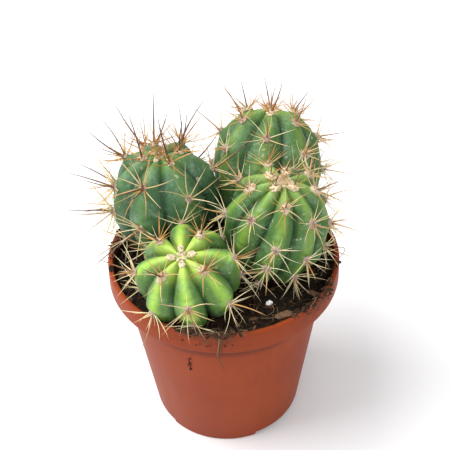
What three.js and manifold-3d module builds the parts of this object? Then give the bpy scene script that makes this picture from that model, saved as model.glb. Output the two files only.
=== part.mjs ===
// Four young ribbed cacti crowded in one thin-walled plastic pot, in millimetres, +Z up.
// The origin is the centre of the pot's flat underside, and the pot's front faces -Y.
import * as THREE from 'three';
import { mergeVertices } from 'three/addons/utils/BufferGeometryUtils.js';
import Module from 'manifold-3d';

const wasm = await Module();
wasm.setup();

const TURN = 2 * Math.PI;

// Driving dimensions of the pot
const POT = {
  height: 104.2,
  rimRadius: 60,
  collarHeight: 11.7,
  collarFlare: 0.3,
  wallTopRadius: 53.1,
  footRadius: 41,
  wall: 1.7,
  lip: 2.6,
  lipRound: 0.9,
  lipCorner: 0.3, // where the rounding's middle point lies, as a share of lipRound
  edgeRound: 0.7,
  footHeight: 2.8,
  footWidth: 8.5,
  padRadius: 12,
  floor: 2,
  notchCount: 3,
  notchTurn: THREE.MathUtils.degToRad(-43),
  notchWidth: 36,
  notchInset: 2,
  drainCount: 6,
  drainRadius: 2.8,
  drainRing: 22,
  drainSides: 12,
  sides: 42,
};

// Driving dimensions of the soil
const SOIL = {
  level: 98,
  heap: 3.2,
  heapFrom: 18,
  heapTo: 52,
  lump: 0.8,
  wave: { x: 0.21, y: 0.19, xShift: 1.3, yShift: 0.4 },
  ripple: { x: 0.43, y: -0.31, shift: 2, share: 0.7 },
  sides: 30,
  rings: [12, 24, 36, 47],
};

const GAP = 0.3; // between neighbouring pieces
const STEM_GAP = 0.45; // between a stem and the hole that it stands in
const ROOT = 9; // how deep each stem goes below the soil level

// Where the plants may lean out past the pot: inside the wall up to the lip, then outward over it
const CONFINE = {
  radius: 55.9,
  lip: 106.5,
  slope: 1.5,
  reach: 90,
  halvings: 24,
  soften: 4,
  contact: 0.4,
  facing: 0.02, // planes that a ray only grazes don't hold it back
};

// Each plant: where its stem stands, its size, its lean (towards +X and +Y), its ribs and its spines.
// Arcs are measured along a rib from the crown. Angles are in degrees.
const PLANTS = [
  {
    name: 'cactus_front', seed: 11, colour: 0x7fae3c,
    x: -15, y: -25.3, lift: 0, height: 39.6, radius: 25, leanX: -7, leanY: -16.5, stem: 0.55,
    ribs: 8, phase: 1.5, twist: 0, bunch: 0, bunchAt: 0, depth: 4.6, sharp: 2.6, swell: 1.3, dimple: 1.8,
    firstEven: 26.5, firstOdd: 13.8, pitch: 22,
    central: 20, radial: 17, tuft: 1, young: 0.7,
  },
  {
    name: 'cactus_left', seed: 23, colour: 0x3f7350,
    x: -28.2, y: 18.3, lift: 0, height: 56.9, radius: 27.5, leanX: -1.8, leanY: 0.5, stem: 0.5,
    ribs: 7, phase: 0.5, twist: 0, bunch: 11.5, bunchAt: 160, depth: 3.5, sharp: 1.6, swell: 0.9, dimple: 1.6,
    firstEven: 9.5, firstOdd: 22.5, pitch: 20.5,
    central: 30, radial: 24, tuft: 1.05, young: 0.9,
  },
  {
    name: 'cactus_right', seed: 37, colour: 0x5b9140,
    x: 24, y: -3.5, lift: 0, height: 58.5, radius: 25.7, leanX: 5.5, leanY: -4.5, stem: 0.36,
    ribs: 9, phase: 7.5, twist: 27, bunch: 0, bunchAt: 0, depth: 3.5, sharp: 2, swell: 0.9, dimple: 1.2,
    firstEven: 16.5, firstOdd: 6.4, pitch: 19.7,
    central: 18, radial: 16, tuft: 0.9, young: 0.5,
  },
  {
    name: 'cactus_back', seed: 53, colour: 0x4b8443,
    x: 22, y: 23.8, lift: 3, height: 63.6, radius: 28.6, leanX: 4.5, leanY: 27, stem: 0.38,
    ribs: 8, phase: 21, twist: 20, bunch: 0, bunchAt: 0, depth: 3.3, sharp: 1.8, swell: 0.9, dimple: 1.4,
    firstEven: 20, firstOdd: 12, pitch: 17.5,
    central: 21, radial: 16, tuft: 1, young: 0.8,
  },
];

// Form shared by all the plants
const FORM = {
  waist: 0.5, // height of the widest place, as a share of the plant's height
  crownPower: 2.2,
  crownRows: 6,
  lowRows: 6,
  rootRows: 1,
  rootTaper: 0.25,
  columns: [-0.5, -0.33, -0.12, 0.12, 0.33], // places across one rib, from groove to groove
  crownFade: 0.42,
  soilFade: 6, // power by which ribs run out towards the soil
  bunchSteps: 8,
  dimpleSpread: 0.24,
  swellSpread: 4.5,
  arcSteps: 240,
  probe: 0.02, // step along w that finds the directions at an areole
  uneven: 1.4, // how far areoles stray from even spacing along a rib
  crampedAt: 48, // rows further than this from the crown stand closer to the row above
  cramped: 6.2,
  pressed: 2, // an areole pushed back further than this has no room to show
  lowest: -0.93,
  overSoil: 2,
  plugSides: 18,
  plugPlaces: [-2, -1, -0.9, -0.75, -0.6, -0.4, -0.2, 0],
};

// Spines: angles in degrees, lengths in millimetres or as shares of the plant's own lengths
const SPINE = {
  radials: 6,
  turnSpread: 0.4,
  radialRise: 27,
  radialSpread: 16,
  centralRise: 76,
  spread: 0.36,
  growsFrom: 4, // the length of an areole's spines grows from this arc to the next one
  fullAt: 19,
  fewest: 3, // an areole with room for fewer spines than this is left out
  tries: 5,
  bend: 8,
  shorten: 0.08,
  samples: 14,
  firstSample: 2,
  clearBody: 0.9,
  clearSoil: 0.8,
  clearPot: 0.8,
  clearSpine: 1.6,
};

// The woolly pad that an areole's spines grow from: its rings' radii and heights over the skin
const PAD = { neck: 0.5, neckRise: 0.8, valley: 1.15, valleyRise: -0.25, sunk: 1.5, bare: 1.5 };

// Loose bits on the soil: x, y, length, width, height and turn in degrees
const BITS = [
  { name: 'perlite_grain', x: 22, y: -34, size: [3.4, 2.6, 2.2], turn: 25, colour: 0xf1efe8 },
  { name: 'bark_chip_front', x: 28.5, y: -44, size: [9, 4.4, 1.8], turn: 20, colour: 0x6a4a33 },
  { name: 'bark_chip_right', x: 44.5, y: -27, size: [7.5, 3.6, 1.7], turn: -35, colour: 0x4d382a },
  { name: 'bark_chip_left', x: -52.4, y: -9.5, size: [5.6, 3.2, 1.6], turn: 70, colour: 0x57402e },
  { name: 'grit_pebble', x: 0.6, y: 10.5, size: [5, 3.8, 3], turn: 10, colour: 0x8f959c },
];

/** A repeatable number from 0 to 1 for each value of n. */
function noise(n) {
  const s = Math.sin(n * 12.9898) * 43758.5453;
  return s - Math.floor(s);
}

/** A three.js geometry as a solid that can be joined and cut. */
function solid(geometry) {
  const bare = geometry.clone();
  bare.deleteAttribute('normal');
  bare.deleteAttribute('uv');
  const merged = mergeVertices(bare, 1e-4);
  return new wasm.Manifold(new wasm.Mesh({
    numProp: 3,
    vertProperties: new Float32Array(merged.attributes.position.array),
    triVerts: new Uint32Array(merged.index.array),
  }));
}

/** A joined or cut solid as a named three.js mesh with its own material. */
function meshOf(name, body, colour, roughness) {
  const data = body.getMesh();
  const geometry = new THREE.BufferGeometry();
  geometry.setAttribute('position', new THREE.BufferAttribute(data.vertProperties, data.numProp));
  geometry.setIndex(new THREE.BufferAttribute(data.triVerts, 1));
  geometry.computeVertexNormals();
  const material = new THREE.MeshStandardMaterial({ color: colour, roughness, metalness: 0 });
  const mesh = new THREE.Mesh(geometry, material);
  mesh.name = name;
  return mesh;
}

/** A profile of [radius, height] points turned round the Z axis. */
function turned(points, sides) {
  const profile = points.map(([r, z]) => new THREE.Vector2(r, z));
  return new THREE.LatheGeometry(profile, sides).rotateX(Math.PI / 2);
}

/** The radius of the pot's outer wall at a height. */
function wallRadius(z) {
  const top = POT.height - POT.collarHeight;
  return POT.footRadius + (POT.wallTopRadius - POT.footRadius) * z / top;
}

/** The pot: a tapered wall with a stepped collar, a raised floor, feet, notches and drain holes. */
function pot() {
  const { height, rimRadius, collarHeight, collarFlare, wall, lip, lipRound, edgeRound } = POT;
  const collarLow = height - collarHeight;
  const floorTop = POT.footHeight + POT.floor;
  const inner = rimRadius - lip;
  const shelf = collarLow + wall;
  const outline = [
    [0, floorTop],
    [0, 0],
    [POT.footRadius - edgeRound, 0],
    [POT.footRadius, edgeRound],
    [wallRadius(collarLow), collarLow],
    [rimRadius + collarFlare - edgeRound, collarLow],
    [rimRadius + collarFlare, collarLow + edgeRound],
    [rimRadius, height - lipRound],
    [rimRadius - lipRound * POT.lipCorner, height - lipRound * POT.lipCorner],
    [rimRadius - lipRound, height],
    [inner + lipRound, height],
    [inner, height - lipRound],
    [inner, shelf],
    [wallRadius(collarLow) - wall, shelf],
    [wallRadius(floorTop) - wall, floorTop],
    [0, floorTop],
  ];
  let body = solid(turned(outline, POT.sides));
  const footInner = POT.footRadius - POT.footWidth;
  const recess = [
    [POT.padRadius, -1],
    [footInner, -1],
    [footInner, POT.footHeight],
    [POT.padRadius, POT.footHeight],
    [POT.padRadius, -1],
  ];
  body = body.subtract(solid(turned(recess, POT.sides)));
  const notchLength = POT.rimRadius - footInner;
  for (let i = 0; i < POT.notchCount; i++) {
    const notch = new THREE.BoxGeometry(notchLength, POT.notchWidth, POT.footHeight * 2);
    notch.translate(footInner + notchLength / 2 - POT.notchInset, 0, 0);
    notch.rotateZ(POT.notchTurn + i * TURN / POT.notchCount);
    body = body.subtract(solid(notch));
  }
  for (let i = 0; i < POT.drainCount; i++) {
    const drain = new THREE.CylinderGeometry(POT.drainRadius, POT.drainRadius, 4 * floorTop, POT.drainSides);
    drain.rotateX(Math.PI / 2);
    drain.translate(POT.drainRing, 0, 0);
    drain.rotateZ(POT.notchTurn + i * TURN / POT.drainCount);
    body = body.subtract(solid(drain));
  }
  return body;
}

/** The height of the soil's surface, heaped at the front and lumpy all over. */
function soilTop(x, y) {
  const heaped = THREE.MathUtils.smoothstep(-y, SOIL.heapFrom, SOIL.heapTo);
  const { wave, ripple } = SOIL;
  const waves = Math.sin(wave.x * x + wave.xShift) * Math.cos(wave.y * y + wave.yShift);
  const ripples = ripple.share * Math.sin(ripple.x * x + ripple.y * y + ripple.shift);
  return SOIL.level + SOIL.heap * heaped + SOIL.lump * (waves + ripples);
}

/** The soil before the stems' holes are cut: it fills the pot, 0.3 mm clear of its inner faces. */
function soilBlock() {
  const collarLow = POT.height - POT.collarHeight;
  const shelf = collarLow + POT.wall + GAP;
  const bottom = POT.footHeight + POT.floor + GAP;
  const edge = POT.rimRadius - POT.lip - GAP;
  const outline = [
    [0, bottom],
    [wallRadius(bottom) - POT.wall - GAP, bottom],
    [wallRadius(collarLow) - POT.wall - GAP, shelf],
    [edge, shelf],
    [edge, SOIL.level],
    ...SOIL.rings.toReversed().map((r) => [r, SOIL.level]),
    [0, SOIL.level],
  ];
  const block = turned(outline, SOIL.sides);
  const place = block.attributes.position;
  for (let i = 0; i < place.count; i++) {
    if (place.getZ(i) > (shelf + SOIL.level) / 2) {
      place.setZ(i, soilTop(place.getX(i), place.getY(i)));
    }
  }
  return solid(block);
}

/** One ribbed plant. Its points are found from a rib angle and a place w from crown (1) to soil (-1). */
class Plant {
  constructor(spec) {
    Object.assign(this, spec);
    const axis = new THREE.Vector3(
      Math.sin(THREE.MathUtils.degToRad(spec.leanX)),
      Math.sin(THREE.MathUtils.degToRad(spec.leanY)),
      0,
    );
    axis.z = Math.sqrt(1 - axis.lengthSq());
    const side = new THREE.Vector3(0, 1, 0).cross(axis).normalize();
    const frame = new THREE.Matrix4().makeBasis(side, axis.clone().cross(side), axis);
    this.matrix = frame.setPosition(spec.x, spec.y, SOIL.level + spec.lift);
    this.inverse = this.matrix.clone().invert();
    this.centre = new THREE.Vector3(0, 0, FORM.waist * spec.height).applyMatrix4(this.matrix);
    this.limits = [];
    this.measureArcs();
  }

  /** Radius and height of the smooth outline at w; below -1 it is the buried root. */
  outline(w) {
    const { radius, height, stem } = this;
    if (w >= 0) {
      const a = w * Math.PI / 2;
      const power = 2 / FORM.crownPower;
      const r = radius * Math.max(0, Math.cos(a)) ** power;
      return { r, z: height * (FORM.waist + (1 - FORM.waist) * Math.sin(a) ** power) };
    }
    if (w >= -1) {
      const a = -w * Math.PI / 2;
      return {
        r: radius * (stem + (1 - stem) * Math.cos(a)),
        z: height * FORM.waist * (1 - Math.sin(a)),
      };
    }
    const deep = -1 - w;
    return { r: radius * stem * (1 - FORM.rootTaper * deep), z: -ROOT * deep };
  }

  /** The outline's direction down the plant at w. */
  slope(w) {
    const e = 1e-3;
    const above = this.outline(Math.min(1, w + e));
    const below = this.outline(w - e);
    return new THREE.Vector2(below.r - above.r, below.z - above.z).normalize();
  }

  /** Distances along the outline from the crown, to find w from an arc and back. */
  measureArcs() {
    this.arcs = [0];
    let last = this.outline(1);
    for (let i = 1; i <= FORM.arcSteps; i++) {
      const next = this.outline(1 - 2 * i / FORM.arcSteps);
      this.arcs.push(this.arcs[i - 1] + Math.hypot(next.r - last.r, next.z - last.z));
      last = next;
    }
  }

  /** The distance along the outline from the crown to w. */
  arcAt(w) {
    const place = Math.min(Math.max((1 - w) / 2, 0), 1) * (this.arcs.length - 1);
    const i = Math.min(Math.floor(place), this.arcs.length - 2);
    return this.arcs[i] + (place - i) * (this.arcs[i + 1] - this.arcs[i]);
  }

  /** The place w at a distance along the outline from the crown. */
  wAt(arc) {
    const i = Math.max(1, this.arcs.findIndex((a) => a >= arc));
    const share = (arc - this.arcs[i - 1]) / (this.arcs[i] - this.arcs[i - 1]);
    return 1 - 2 * (i - 1 + share) / (this.arcs.length - 1);
  }

  /** The angle round the axis at which the rib coordinate (0 at crest 0, 1 at crest 1 ...) lies. */
  angleOf(rib, t) {
    const even = THREE.MathUtils.degToRad(this.phase + this.twist * t) + rib * TURN / this.ribs;
    const bunch = THREE.MathUtils.degToRad(this.bunch);
    const at = THREE.MathUtils.degToRad(this.bunchAt);
    let angle = even;
    for (let i = 0; i < FORM.bunchSteps; i++) angle = even - bunch * Math.sin(angle - at);
    return angle;
  }

  /** Where the first areole of rib k lies: even and odd ribs are staggered. */
  firstArc(k) {
    return k % 2 ? this.firstOdd : this.firstEven;
  }

  /** Ribs and swellings run out at the crown and at the soil. */
  fade(w, r) {
    if (w > 0) return THREE.MathUtils.smoothstep(r / this.radius, 0, FORM.crownFade);
    return Math.max(0, 1 - Math.abs(w) ** FORM.soilFade);
  }

  /** How far the skin stands out from the smooth outline: grooves go in, areoles swell out. */
  relief(rib, w, r) {
    const across = 2 * Math.abs(rib - Math.round(rib));
    const fade = this.fade(w, r);
    const k = ((Math.round(rib) % this.ribs) + this.ribs) % this.ribs;
    const row = (this.arcAt(w) - this.firstArc(k)) / this.pitch;
    const off = (row - Math.max(0, Math.round(row))) * this.pitch / FORM.swellSpread;
    const swell = this.swell * Math.exp(-off * off) * (1 - across * across) * fade;
    return swell - this.depth * across ** this.sharp * fade;
  }

  /** A point of the skin before neighbours and pot press on it. */
  free(rib, w) {
    const { r, z } = this.outline(w);
    const slope = this.slope(w);
    const out = w < -1 ? 0 : this.relief(rib, w, r);
    const dent = this.dimple * Math.exp(-((r / (FORM.dimpleSpread * this.radius)) ** 2)) * (w > 0 ? 1 : 0);
    const radius = Math.max(0, r - out * slope.y);
    const angle = this.angleOf(rib, z / this.height);
    const high = z + out * slope.x - dent;
    const at = new THREE.Vector3(radius * Math.cos(angle), radius * Math.sin(angle), high);
    return at.applyMatrix4(this.matrix);
  }

  /** The same point, held back smoothly by the neighbours' planes and the pot's wall and lip. */
  skin(rib, w) {
    const at = this.free(rib, w);
    const away = at.clone().sub(this.centre);
    let length = away.length();
    away.divideScalar(length || 1);
    for (const { normal, distance } of this.limits) {
      const facing = away.dot(normal);
      if (facing > CONFINE.facing) length = softMin(length, distance / facing);
    }
    length = softMin(length, this.wallReach(away));
    return this.centre.clone().addScaledVector(away, length);
  }

  /** How far a ray from the plant's centre goes before it meets the pot's wall or lip. */
  wallReach(away) {
    let near = 0;
    let far = CONFINE.reach;
    const at = new THREE.Vector3();
    for (let i = 0; i < CONFINE.halvings; i++) {
      const middle = (near + far) / 2;
      at.copy(this.centre).addScaledVector(away, middle);
      const wide = CONFINE.radius + Math.max(0, at.z - CONFINE.lip) * CONFINE.slope;
      if (Math.hypot(at.x, at.y) < wide) near = middle;
      else far = middle;
    }
    return near;
  }

  /** Whether a point lies in the plant's smooth outline, with a margin. */
  holds(point, margin) {
    const at = point.clone().applyMatrix4(this.inverse);
    const t = at.z / this.height;
    if (at.z < -ROOT || at.z > this.height + margin) return false;
    const up = Math.min(1, Math.max(0, (t - FORM.waist) / (1 - FORM.waist)));
    const down = Math.min(1, Math.max(0, (FORM.waist - t) / FORM.waist));
    const high = (1 - up ** FORM.crownPower) ** (1 / FORM.crownPower);
    const low = this.stem + (1 - this.stem) * Math.sqrt(1 - down * down);
    return Math.hypot(at.x, at.y) < this.radius * (t > FORM.waist ? high : low) + margin;
  }

  /** The bare ribbed body, from its crown to the flat end of its buried root. */
  body() {
    const columns = this.ribs * FORM.columns.length;
    const rows = FORM.crownRows + FORM.lowRows + FORM.rootRows + 1;
    const ball = new THREE.SphereGeometry(1, columns, rows);
    const place = ball.attributes.position;
    const uv = ball.attributes.uv;
    const bottom = new THREE.Vector3(0, 0, -ROOT).applyMatrix4(this.matrix);
    for (let i = 0; i < place.count; i++) {
      const row = Math.round((1 - uv.getY(i)) * rows);
      const column = Math.round(uv.getX(i) * columns) % columns;
      let w = 1 - row / FORM.crownRows;
      if (row > FORM.crownRows) w = -(row - FORM.crownRows) / FORM.lowRows;
      if (row > FORM.crownRows + FORM.lowRows) w = -1 - (row - FORM.crownRows - FORM.lowRows) / FORM.rootRows;
      const perRib = FORM.columns.length;
      const rib = Math.floor(column / perRib) + FORM.columns[column % perRib];
      const at = row === rows ? bottom : this.skin(row ? rib : 0, w);
      place.setXYZ(i, at.x, at.y, at.z);
    }
    return solid(ball);
  }

  /** A plain round plug that follows the stem, to cut its hole in the soil. */
  plug() {
    const points = [[0, -ROOT - STEM_GAP]];
    for (const w of FORM.plugPlaces) {
      const { r, z } = this.outline(w);
      const slope = this.slope(w);
      const out = STEM_GAP + this.swell * this.fade(w, r);
      const corner = w <= -1;
      points.push([r + (corner ? out : -out * slope.y), z + (corner ? -out : out * slope.x)]);
    }
    points.push([0, FORM.waist * this.height]);
    return solid(turned(points, FORM.plugSides).applyMatrix4(this.matrix));
  }

  /** Areoles in rows down each rib: place, outward direction, direction to the crown, and arc. */
  areoles() {
    const found = [];
    for (let k = 0; k < this.ribs; k++) {
      for (let j = 0; ; j++) {
        const seed = this.seed * 1000 + k * 37 + j * 5;
        const even = this.firstArc(k) + j * this.pitch;
        const closer = even > FORM.crampedAt ? FORM.cramped : 0;
        const arc = even - closer + (j ? FORM.uneven * (noise(seed) - 0.5) : 0);
        if (arc > this.arcs.at(-1)) break;
        const w = this.wAt(arc);
        const at = this.skin(k, w);
        const pressed = at.distanceTo(this.free(k, w)) > FORM.pressed;
        if (pressed || w < FORM.lowest || at.z < soilTop(at.x, at.y) + FORM.overSoil) continue;
        const up = this.skin(k, w + FORM.probe).sub(this.skin(k, w - FORM.probe)).normalize();
        const across = this.skin(k + FORM.probe, w).sub(this.skin(k - FORM.probe, w));
        const out = across.cross(up).normalize();
        found.push({ at, out, up, arc, seed });
      }
    }
    return found;
  }
}

/** The smaller of two lengths, rounded where they are nearly the same. */
function softMin(a, b) {
  const near = Math.max(CONFINE.soften - Math.abs(a - b), 0) / CONFINE.soften;
  return Math.min(a, b) - near * near * CONFINE.soften / 4;
}

/** Gives each plant of a pair the plane where the two press against each other. */
function crowd(plants) {
  plants.forEach((one, i) => plants.slice(i + 1).forEach((other) => {
    const normal = other.centre.clone().sub(one.centre);
    const apart = normal.length();
    normal.divideScalar(apart);
    const share = (apart ** 2 + one.radius ** 2 - other.radius ** 2) / (2 * apart);
    one.limits.push({ normal, distance: share - CONFINE.contact / 2 });
    other.limits.push({ normal: normal.clone().negate(), distance: apart - share - CONFINE.contact / 2 });
  }));
}

/** A direction at an areole: turned round it from the crown's side, and risen off the skin. */
function direction({ out, up }, turn, rise) {
  const side = out.clone().cross(up);
  const along = up.clone().multiplyScalar(Math.cos(turn)).addScaledVector(side, Math.sin(turn));
  return along.multiplyScalar(Math.cos(rise)).addScaledVector(out, Math.sin(rise));
}

/** The spines that one areole should have, the central one last, before anything is in their way. */
function wanted(plant, { arc, seed }) {
  const radians = THREE.MathUtils.degToRad;
  const age = THREE.MathUtils.smoothstep(arc, SPINE.growsFrom, SPINE.fullAt);
  const grown = plant.young + (1 - plant.young) * age;
  const spines = [];
  for (let m = 0; m < SPINE.radials; m++) {
    const astray = SPINE.turnSpread * (noise(seed + m * 0.31) - 0.5);
    const turn = (m + astray) * TURN / SPINE.radials;
    const rise = radians(SPINE.radialRise + SPINE.radialSpread * (noise(seed + m * 0.57) - 0.5));
    const length = plant.radial * grown * (1 + SPINE.spread * (noise(seed + m * 0.83) - 0.5));
    spines.push({ turn, rise, length });
  }
  const length = plant.central * grown * plant.tuft * (1 + SPINE.spread * (noise(seed + 0.71) - 0.5));
  spines.push({ turn: TURN * noise(seed + 0.19), rise: radians(SPINE.centralRise), length });
  return spines;
}

/** Whether a spine from one point to another stays clear of the soil, the pot and the other plants. */
function isClear(line, owner, plants) {
  const at = new THREE.Vector3();
  for (let i = SPINE.firstSample; i <= SPINE.samples; i++) {
    line.at(i / SPINE.samples, at);
    const radius = Math.hypot(at.x, at.y);
    const inner = POT.rimRadius - POT.lip;
    if (radius < inner + POT.wall && at.z < soilTop(at.x, at.y) + SPINE.clearSoil) return false;
    const outer = POT.rimRadius + POT.collarFlare + SPINE.clearPot;
    const overRim = radius > inner - SPINE.clearPot && radius < outer;
    if (overRim && at.z < POT.height + SPINE.clearPot) return false;
    if (radius < POT.rimRadius && at.z < SOIL.level - SPINE.clearSoil) return false;
    if (plants.some((p) => p !== owner && p.holds(at, SPINE.clearBody))) return false;
  }
  for (const other of plants) {
    if (other === owner) continue;
    for (const taken of other.lines) {
      if (line.distanceSqToLine3(taken) < SPINE.clearSpine ** 2) return false;
    }
  }
  return true;
}

/** A spine's line, raised off the skin in steps and shortened where something is in its way. */
function placeSpine(areole, spine, owner, plants) {
  for (let step = 0; step < SPINE.tries; step++) {
    const rise = spine.rise + THREE.MathUtils.degToRad(SPINE.bend * step);
    const way = direction(areole, spine.turn, Math.min(rise, THREE.MathUtils.degToRad(SPINE.centralRise)));
    const length = spine.length * (1 - SPINE.shorten * step);
    const line = new THREE.Line3(areole.at, areole.at.clone().addScaledVector(way, length));
    if (isClear(line, owner, plants)) return line;
  }
  return null;
}

/** One areole's pad with its spines drawn out of it as tapering needles, rooted under the skin. */
function rosette(areole, lines) {
  const columns = 2 * SPINE.radials;
  const star = new THREE.SphereGeometry(1, columns, 3);
  const place = star.attributes.position;
  const uv = star.attributes.uv;
  const central = lines.at(-1);
  for (let i = 0; i < place.count; i++) {
    const row = Math.round((1 - uv.getY(i)) * 3);
    const column = Math.round(uv.getX(i) * columns) % columns;
    const along = direction(areole, column * TURN / columns, 0);
    const at = areole.at.clone();
    const radial = column % 2 ? null : lines[column / 2];
    if (row === 0 && central) at.copy(central.end);
    else if (row === 0) at.addScaledVector(areole.out, PAD.bare);
    else if (row === 1) at.addScaledVector(along, PAD.neck).addScaledVector(areole.out, PAD.neckRise);
    else if (row === 2 && radial) at.copy(radial.end);
    else if (row === 2) at.addScaledVector(along, PAD.valley).addScaledVector(areole.out, PAD.valleyRise);
    else at.addScaledVector(areole.out, -PAD.sunk);
    place.setXYZ(i, at.x, at.y, at.z);
  }
  return solid(star);
}

// How rough the loose bits are, and how they lie
const LUMPS = { rough: 0.22, x: 9, y: 7, z: 5, flatUnder: -0.3, raised: 0.15 };

/** A lumpy pebble or chip, lying in its own shallow seat in the soil. */
function bit({ x, y, size, turn, name }, grow) {
  const stone = new THREE.IcosahedronGeometry(0.5, 1);
  const place = stone.attributes.position;
  const at = new THREE.Vector3();
  for (let i = 0; i < place.count; i++) {
    at.fromBufferAttribute(place, i);
    const wave = Math.sin(LUMPS.x * at.x + name.length) * Math.cos(LUMPS.y * at.y - LUMPS.z * at.z);
    const rough = 1 + LUMPS.rough * wave;
    const flat = Math.max(at.z * rough, LUMPS.flatUnder);
    const wide = rough * (size[0] + grow);
    const deep = rough * (size[1] + grow);
    place.setXYZ(i, at.x * wide, at.y * deep, flat * (size[2] + grow));
  }
  stone.rotateZ(THREE.MathUtils.degToRad(turn));
  stone.translate(x, y, soilTop(x, y) + size[2] * LUMPS.raised);
  return solid(stone);
}

const plants = PLANTS.map((spec) => new Plant(spec));
crowd(plants);
plants.forEach((plant) => {
  plant.lines = [];
});

const assembly = new THREE.Group();
assembly.add(meshOf('pot', pot(), 0xa85138, 0.5));

let soil = soilBlock();
for (const plant of plants) soil = soil.subtract(plant.plug());
for (const spec of BITS) {
  soil = soil.subtract(bit(spec, 2 * GAP));
  assembly.add(meshOf(spec.name, bit(spec, 0), spec.colour, 0.9));
}
assembly.add(meshOf('soil', soil, 0x2a201a, 0.95));

for (const plant of plants) {
  const pieces = [plant.body()];
  for (const areole of plant.areoles()) {
    const lines = wanted(plant, areole).map((spine) => placeSpine(areole, spine, plant, plants));
    const placed = lines.filter(Boolean);
    if (placed.length < SPINE.fewest) continue;
    plant.lines.push(...placed);
    pieces.push(rosette(areole, lines));
  }
  assembly.add(meshOf(plant.name, wasm.Manifold.union(pieces), plant.colour, 0.55));
}

export default assembly;
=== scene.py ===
"""Looks of four young ribbed cacti crowded in a plastic pot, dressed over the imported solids.

Shapes are worked out in millimetres with +Z up and -Y to the front, and the meshes are in metres.
The plants repeat the rule of the solids' source, so that ribs, areoles and main spines agree with them.
"""

import itertools
import logging
import math
import random
from collections.abc import Callable, Iterable
from dataclasses import dataclass, field
from enum import Enum

import bmesh
import bpy
from mathutils import Matrix, Vector
from mathutils import noise as fractal


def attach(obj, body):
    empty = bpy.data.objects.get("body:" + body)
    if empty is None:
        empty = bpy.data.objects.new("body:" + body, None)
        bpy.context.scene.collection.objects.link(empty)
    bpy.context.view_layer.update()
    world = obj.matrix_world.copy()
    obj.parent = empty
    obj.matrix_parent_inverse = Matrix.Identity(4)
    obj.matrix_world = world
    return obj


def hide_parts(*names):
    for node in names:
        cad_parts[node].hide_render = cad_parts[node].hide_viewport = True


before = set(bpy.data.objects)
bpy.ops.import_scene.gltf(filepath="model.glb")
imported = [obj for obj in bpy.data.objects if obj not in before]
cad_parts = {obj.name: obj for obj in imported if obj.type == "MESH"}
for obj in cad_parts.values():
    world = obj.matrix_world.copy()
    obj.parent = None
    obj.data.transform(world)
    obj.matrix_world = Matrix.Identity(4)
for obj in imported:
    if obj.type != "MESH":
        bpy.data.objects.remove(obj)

LOG = logging.getLogger("cacti")
TURN = 2.0 * math.pi
MM = 0.001
WELD = 1e-4
SOIL_LEVEL = 98.0
STEM_ROOT = 9.0
MIX_SHARE, MIX_FIRST, MIX_SECOND, MIX_RESULT = 0, 6, 7, 2


def draw(n: float) -> float:
    """A repeatable number from 0 to 1 for each value of n."""
    s = math.sin(n * 12.9898) * 43758.5453
    return s - math.floor(s)


def smoothstep(x: float, low: float, high: float) -> float:
    """An even rise from 0 at low to 1 at high."""
    t = min(max((x - low) / (high - low), 0.0), 1.0)
    return t * t * (3.0 - 2.0 * t)


def drawn(span: tuple[float, float], n: float) -> float:
    """A repeatable number for each value of n, from a span given by its low end and its width."""
    return span[0] + span[1] * draw(n)


def bell(x: float, width: float) -> float:
    """A bump of height 1 at x = 0 that falls off over a width."""
    return math.exp(-((x / width) ** 2))


def soft_min(a: float, b: float, soften: float) -> float:
    """The smaller of two lengths, rounded where they are nearly the same."""
    near = max(soften - abs(a - b), 0.0) / soften
    return min(a, b) - near * near * soften / 4.0


def polar(radius: float, angle: float, high: float) -> Vector:
    """A place at a radius and an angle round the upright axis, at a height."""
    return Vector((radius * math.cos(angle), radius * math.sin(angle), high))


# Shader graphs


class Value:
    """A number socket that can be used in Python expressions."""

    def __init__(self, graph: "Graph", socket: bpy.types.NodeSocket) -> None:
        """Wraps one output socket of a graph's tree."""
        self.graph = graph
        self.socket = socket

    def _math(self, operation: str, first: "Value | float", second: "Value | float") -> "Value":
        """Adds one Math node and wraps its result."""
        made = self.graph.node("ShaderNodeMath", {"operation": operation}, {0: first, 1: second})
        return Value(self.graph, made.outputs[0])

    def __add__(self, other: "Value | float") -> "Value":
        """self + other."""
        return self._math("ADD", self, other)

    __radd__ = __add__

    def __sub__(self, other: "Value | float") -> "Value":
        """self - other."""
        return self._math("SUBTRACT", self, other)

    def __rsub__(self, other: float) -> "Value":
        """other - self."""
        return self._math("SUBTRACT", other, self)

    def __mul__(self, other: "Value | float") -> "Value":
        """self * other."""
        return self._math("MULTIPLY", self, other)

    __rmul__ = __mul__

    def step(self, low: float, high: float) -> "Value":
        """A smooth rise from 0 where the value is low to 1 where it is high.

        Args:
            low: the value where the rise starts.
            high: the value where it ends.

        Returns:
            The risen value.
        """
        made = self.graph.node(
            "ShaderNodeMapRange",
            {"interpolation_type": "SMOOTHSTEP"},
            {"Value": self, "From Min": low, "From Max": high, "To Min": 0.0, "To Max": 1.0},
        )
        return Value(self.graph, made.outputs[0])


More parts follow.
